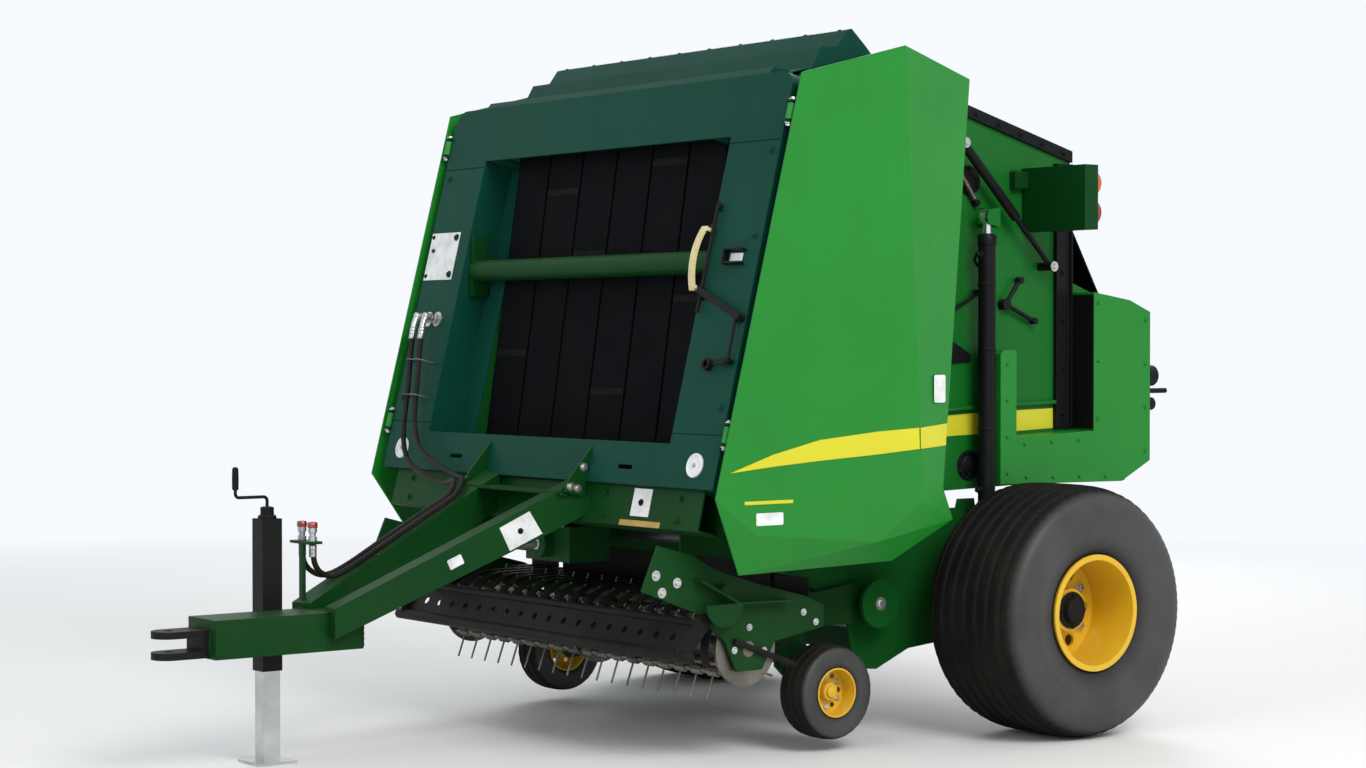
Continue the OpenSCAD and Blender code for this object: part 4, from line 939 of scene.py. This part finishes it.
# %% Sleeves, couplings and clips
SLEEVE = [(0.0115, 0.0), (0.0145, 0.002), (0.0145, 0.012), (0.0130, 0.014), (0.0145, 0.016), (0.0145, 0.026),
          (0.0130, 0.028), (0.0145, 0.030), (0.0145, 0.044), (0.0120, 0.048)]
COUPLING = [(0.016, 0.0), (0.016, 0.016), (0.012, 0.018), (0.012, 0.030), (0.0165, 0.032), (0.0165, 0.050),
            (0.014, 0.053), (0.014, 0.060)]
DUST_CAP = [(0.0185, 0.050), (0.019, 0.052), (0.019, 0.066), (0.016, 0.071), (0.006, 0.073)]
ELBOW = np.array([(1.5980, 0.0003, 1.6497), (1.6207, 0.0008, 1.6566), (1.6400, 0.0020, 1.6544),
                  (1.6511, 0.0034, 1.6425), (1.6589, 0.0055, 1.6214), (1.6625, 0.0071, 1.6070)])
SLEEVE_Z, COUPLING_Z, BULKHEAD = 0.751, 0.810, 0.640
fittings, caps = [], []
for y in (-0.190, -0.110):
    fittings += [turned(SLEEVE, at(2.649, y, SLEEVE_Z)),
                 turned(COUPLING, at(2.650, y, COUPLING_Z), sides=24)]
    caps.append(turned(DUST_CAP, at(2.650, y, COUPLING_Z), sides=24))
for y in (-1.010, -0.942):
    elbow = at(*(ELBOW + [0, y, 0]).T)
    fittings += [bolts(on_face(0.0, y, BULKHEAD), FACE, 0.034),
                 turned(SLEEVE, on_face(0.024, y, BULKHEAD), FACE),
                 tube(elbow, 0.0128, 20), turned(SLEEVE, elbow[-1], elbow[-1] - elbow[-2])]
piece("hose_fittings", fittings, bare_steel, "chassis", "bare_steel")
piece("hose_dust_caps", caps, red_plastic, "chassis", "red_lens")

CLIP = np.array([(-1.9, 0.0), (-1.75, 0.02), (-1.6, 0.55), (-1.3, 1.0), (-0.9, 1.12), (-0.5, 1.0), (0, 0.9),
                 (0.5, 1.0), (0.9, 1.12), (1.3, 1.0), (1.6, 0.55), (1.75, 0.02), (1.9, 0.0)])


def clip(middle, out, spread, rise):
    """Wire bent over two hoses: (across, height) pairs carried into space, on one foot at either end."""
    across, out = np.array(ACROSS, float), unit(out)
    path = middle + CLIP[:, :1] * spread * across + CLIP[:, 1:] * rise * out
    return tube(path, 0.003, 8, np.cross(across, out))


clips = []
for share in (0.30, 0.48, 0.66):
    top = (ARM_TOP + share * (ARM_LOW - ARM_TOP)) * [1, -1, 1] + [0, 0, 0.074 - 0.018 * share]
    clips.append(clip(top, arm_up * [1, -1, 1], 0.024, 0.026))
for v, y in ((0.45, -0.954), (0.30, -0.932)):
    clips.append(clip(on_face(0.0, y, v), FACE, 0.034, 0.072))
piece("hose_clips", clips, spring_steel, "chassis", "tine_steel")

# %% [markdown]
# ## Weld beads and rivets
# A weld is a tube whose radius ripples along its way. It runs along the drawbar's joints. Small rivets hold
# the hood's steps.

# %% Welds and rivets
def weld(a, b, radius=0.005, step=0.004):
    """Straight tube from a to b: radius r (1 + 0.16 sin 5k) at step k, thinning at both ends."""
    a, b = np.asarray(a, float), np.asarray(b, float)
    n = max(int(np.linalg.norm(b - a) / step), 8)
    k = np.arange(n)
    swell = radius * (1 + 0.16 * np.sin(5.0 * k)) * np.minimum(1, (np.minimum(k, n - 1 - k) + 1) / 4)
    across = (0.3, 0.2, 1) if abs(unit(b - a)[2]) < 0.8 else (1, 0.2, 0)
    return tube(a + (b - a) * (k / (n - 1))[:, None], swell, 8, across)


SEAMS = [((1.735, 0.340, 0.975), (1.785, 0.340, 0.975)), ((1.800, 0.340, 0.975), (1.850, 0.340, 0.975)),
         ((2.562, 0.105, 0.425), (2.562, 0.105, 0.562)), ((3.160, 0.062, 0.432), (3.160, 0.062, 0.528)),
         ((2.60, 0.106, 0.566), (2.72, 0.106, 0.566))]
welds = []
for _, s in SIDES:
    welds += [weld(on_face(-0.030, s * y, -0.125), on_face(-0.030, s * y, -0.005)) for y in (0.243, 0.347)]
    welds += [weld(at(*a) * [1, s, 1], at(*b) * [1, s, 1]) for a, b in SEAMS]
piece("drawbar_welds", welds, deep_shaded_green, "chassis", "dark_green_paint")
RIVET = turned([(0.0, 0.004), (0.005, 0.0035), (0.008, 0.001), (0.008, -0.001)], sides=12)
HOOD_STEPS = (((1.0854, 2.6527), (1.0054, 2.6607)), ((0.9584, 2.7247), (0.9354, 2.7307)),
              ((1.2304, 2.5517), (1.1304, 2.5747)))
rivets = []
for (x0, z0), (x1, z1) in HOOD_STEPS:
    middle = at((x0 + x1) / 2, 0, (z0 + z1) / 2)
    rivets.append(copies(RIVET, row(middle + [0, -0.9, 0], middle + [0, 0.9, 0], 10), (z1 - z0, 0, x0 - x1)))
piece("hood_rivets", rivets, frame_shaded_green, "chassis", "dark_green_paint")

# %% [markdown]
# ## Small hardware on the cylinders, the struts and the jack
# The lift cylinders get a gland nut, two ports and a thin pipe in its clips, the gate's struts a coil spring,
# and the jack a collar, a crank and a pin with a ring. Turned heads close the pins of the gate, the cylinders
# and the pickup.

# %% Glands, ports and pins
GLAND = [(0.0185, 0.014), (0.026, 0.014), (0.030, 0.010), (0.0365, 0.008), (0.0385, 0.004), (0.0385, -0.030),
         (0.0352, -0.034)]
PORT = [(0.0, 0.024), (0.008, 0.024), (0.010, 0.020), (0.010, 0.010), (0.015, 0.009), (0.015, -0.010)]
BAND = [(0.0355, -0.007), (0.0372, -0.005), (0.0372, 0.005), (0.0355, 0.007)]
PIPE_END = [(0.0055, 0.0), (0.0100, 0.002), (0.0100, 0.026), (0.0055, 0.028)]
PIN_HEAD = [(0.0, 0.008), (0.012, 0.008), (0.015, 0.005), (0.015, 0.002), (0.026, 0.0015), (0.027, -0.001)]
PORT_Z, PIPE_Y = 1.900, -0.0415
COIL_TURNS, COIL_RADIUS = 22, 0.0124
for side, s in SIDES:
    axis = at(0.088, s * 0.813, 0.0)
    t = np.linspace(0, 1, 25)[:, None]
    swing = np.pi / 2 * t
    bow = [0.055 * np.cos(swing), PIPE_Y * s * np.sin(swing), PORT_Z - 0.05 * t]
    round_back = axis + np.concatenate(bow, -1)
    down = row(round_back[-1], axis + [0.0, PIPE_Y * s, 1.000], 10)
    pipes = [tube(np.concatenate([round_back, down[1:]]), 0.0055, 10, (0.3, s, 0.2)),
             turned(PIPE_END, down[-1], (0, 0, -1), 12)]
    pipes += [turned(BAND, axis + [0, 0, z], sides=36) for z in (1.20, 1.52, 1.78)]
    piece(f"cylinder_pipe_{side}", pipes, black_paint, f"cylinder_{side}", "black_steel")
    ports = [turned(PORT, axis + [0.035, 0, z], AHEAD, 16) for z in (0.955, PORT_Z)]
    gland = [turned(GLAND, axis + [0, 0, 1.970], sides=36), *ports]
    piece(f"cylinder_gland_{side}", gland, black_paint, f"cylinder_{side}", "black_steel")
    heads = [turned(PIN_HEAD, at(x, s * y, z), (0, s, 0))
             for x, y, z in ((0.088, 0.843, 0.870), (0.420, 0.750, 2.340), (0.660, 0.818, 0.530))]
    piece(f"pin_heads_{side}", heads, bare_steel, "chassis", "bare_steel")
    strut_heads = [turned([(r * 0.8, h) for r, h in PIN_HEAD], at(x, s * 0.812, z), (0, s, 0), 18)
                   for x, z in ((0.200, 2.345), (-0.296, 1.859))]
    piece(f"strut_heads_{side}", strut_heads, bare_steel, "gate", "bare_steel")
    top, low = at(0.205, s * 0.743, 2.269), at(0.092, s * 0.743, 2.123)
    t = np.linspace(0, 1, 10 * COIL_TURNS + 1)[:, None]
    angle = 2 * np.pi * COIL_TURNS * t
    way = unit(low - top)
    aside = np.cos(angle) * ACROSS + np.sin(angle) * np.cross(way, ACROSS)
    coil = top + (low - top) * t + COIL_RADIUS * aside
    piece(f"gate_spring_{side}", tube(coil, 0.0024, 6, way), spring_steel, "gate", "tine_steel")

# %% Collar, pin and crank of the jack
JACK = at(2.820, -0.145, 0.0)
COLLAR = [(0.026, -0.004), (0.034, 0.0), (0.034, 0.010), (0.027, 0.014)]
LID = [(0.0, 0.004), (0.016, 0.003), (0.0245, 0.0), (0.0245, -0.006)]
collar = [turned(COLLAR, JACK + [0, 0, 0.900], sides=28), turned(LID, JACK + [0, 0, 0.941], sides=28)]
piece("jack_collar", collar, black_paint, "chassis", "black_steel")
PIN = [(0.009, -0.060), (0.0095, -0.058), (0.0095, 0.060), (0.013, 0.062), (0.013, 0.068), (0.008, 0.070)]
pin = turned(PIN, JACK + [0, 0, 0.520], ACROSS, 18)
turn = np.linspace(0, 2 * np.pi, 25)
ring = JACK + np.stack([0.016 * np.sin(turn), 0 * turn + 0.074, 0.504 + 0.016 * np.cos(turn)], -1)
piece("jack_pin", [pin, tube(ring, 0.0018)], bare_steel, "chassis", "bare_steel")
bend = np.linspace(0, np.pi / 2, 7)
first = np.stack([0.015 - 0.015 * np.cos(bend), 0 * bend, 0.965 + 0.015 * np.sin(bend)], -1)
second = np.stack([0.115 + 0.015 * np.sin(bend), 0 * bend, 0.995 - 0.015 * np.cos(bend)], -1)
crank = JACK + np.concatenate([[[0, 0, 0.940]], first, second, [[0.130, 0, 1.010]]])
GRIP = [(0.008, 0.0), (0.012, 0.003), (0.0125, 0.040), (0.0115, 0.078), (0.007, 0.084), (0.0, 0.085)]
grip = turned(GRIP, JACK + [0.130, 0, 1.008])
piece("jack_crank", [tube(crank, 0.006, 12), grip], black_paint, "chassis", "black_steel")

# %% [markdown]
# ## Floor and light
# The floor is a plain pale sheet that runs out of view. Far from the machine it fades into the pale of the
# world, so that no horizon cuts the picture, and near the machine it keeps the shadow. The fade and the white
# of the world are there for camera, glossy and transmission rays alone, so the object itself is lit at a
# plain level. The big lamp stands to the machine's left and above, as the sky did, so that the doors are
# brighter than the frame. A weaker one fills the front, and a third stands behind.

# %% Floor, world and lamps
floor_mesh = bpy.data.meshes.new("floor")
floor_mesh.from_pydata([(-60, -60, 0), (60, -60, 0), (60, 60, 0), (-60, 60, 0)], [], [(0, 1, 2, 3)])
floor = bpy.data.objects.new("floor", floor_mesh)
scene.collection.objects.link(floor)
PALE = (0.93, 0.96, 1.0, 1.0)
f = Finish("pale_floor")
mottle = f.mix(f.noise(0.8, 3.0), (0.80, 0.80, 0.79, 1.0), (0.84, 0.84, 0.83, 1.0))
away = f.ramp(f.add("ShaderNodeVectorMath", "Value", {"operation": "LENGTH"}, Vector=f.place), 3.2, 11.0)
eased = f.math("MULTIPLY", f.math("MULTIPLY", away, away), f.seen())
floor_mesh.materials.append(f.done(Base_Color=mottle, Roughness=0.7))
pale = f.add("ShaderNodeEmission", 0, Color=PALE, Strength=1.0)
blend = f.add("ShaderNodeMixShader", 0, i0=eased, i1=f.shader.outputs[0], i2=pale)
f.put(f.nodes["Material Output"].inputs["Surface"], blend)

world = bpy.data.worlds.new("studio")
world.use_nodes = True
scene.world = world
sky = Wiring(world.node_tree)
strength = sky.add("ShaderNodeMapRange", 0, Value=sky.seen(), To_Min=0.62, To_Max=1.0)
sky.put(sky.nodes["Background"].inputs["Color"], PALE)
sky.put(sky.nodes["Background"].inputs["Strength"], strength)
scene.view_settings.view_transform = "Standard"


def lamp(name, place, target, power, colour=(1, 1, 1), size=5.0):
    """Square area lamp at a place, turned so that it shines at the target."""
    data = bpy.data.lights.new(name, "AREA")
    data.size, data.energy, data.color = size, power, colour
    obj = bpy.data.objects.new(name, data)
    obj.location = place
    obj.rotation_euler = (Vector(target) - Vector(place)).to_track_quat("-Z", "Y").to_euler()
    scene.collection.objects.link(obj)


lamp("key", (1.0, 9.0, 7.5), (0, 0, 1.1), 780.0, (1.0, 0.98, 0.94))
lamp("fill", (9.0, 2.0, 5.0), (0, 0, 1.0), 200.0, (0.94, 0.97, 1.0))
lamp("back", (-7.0, -6.0, 6.0), (0, 0, 1.0), 340.0)
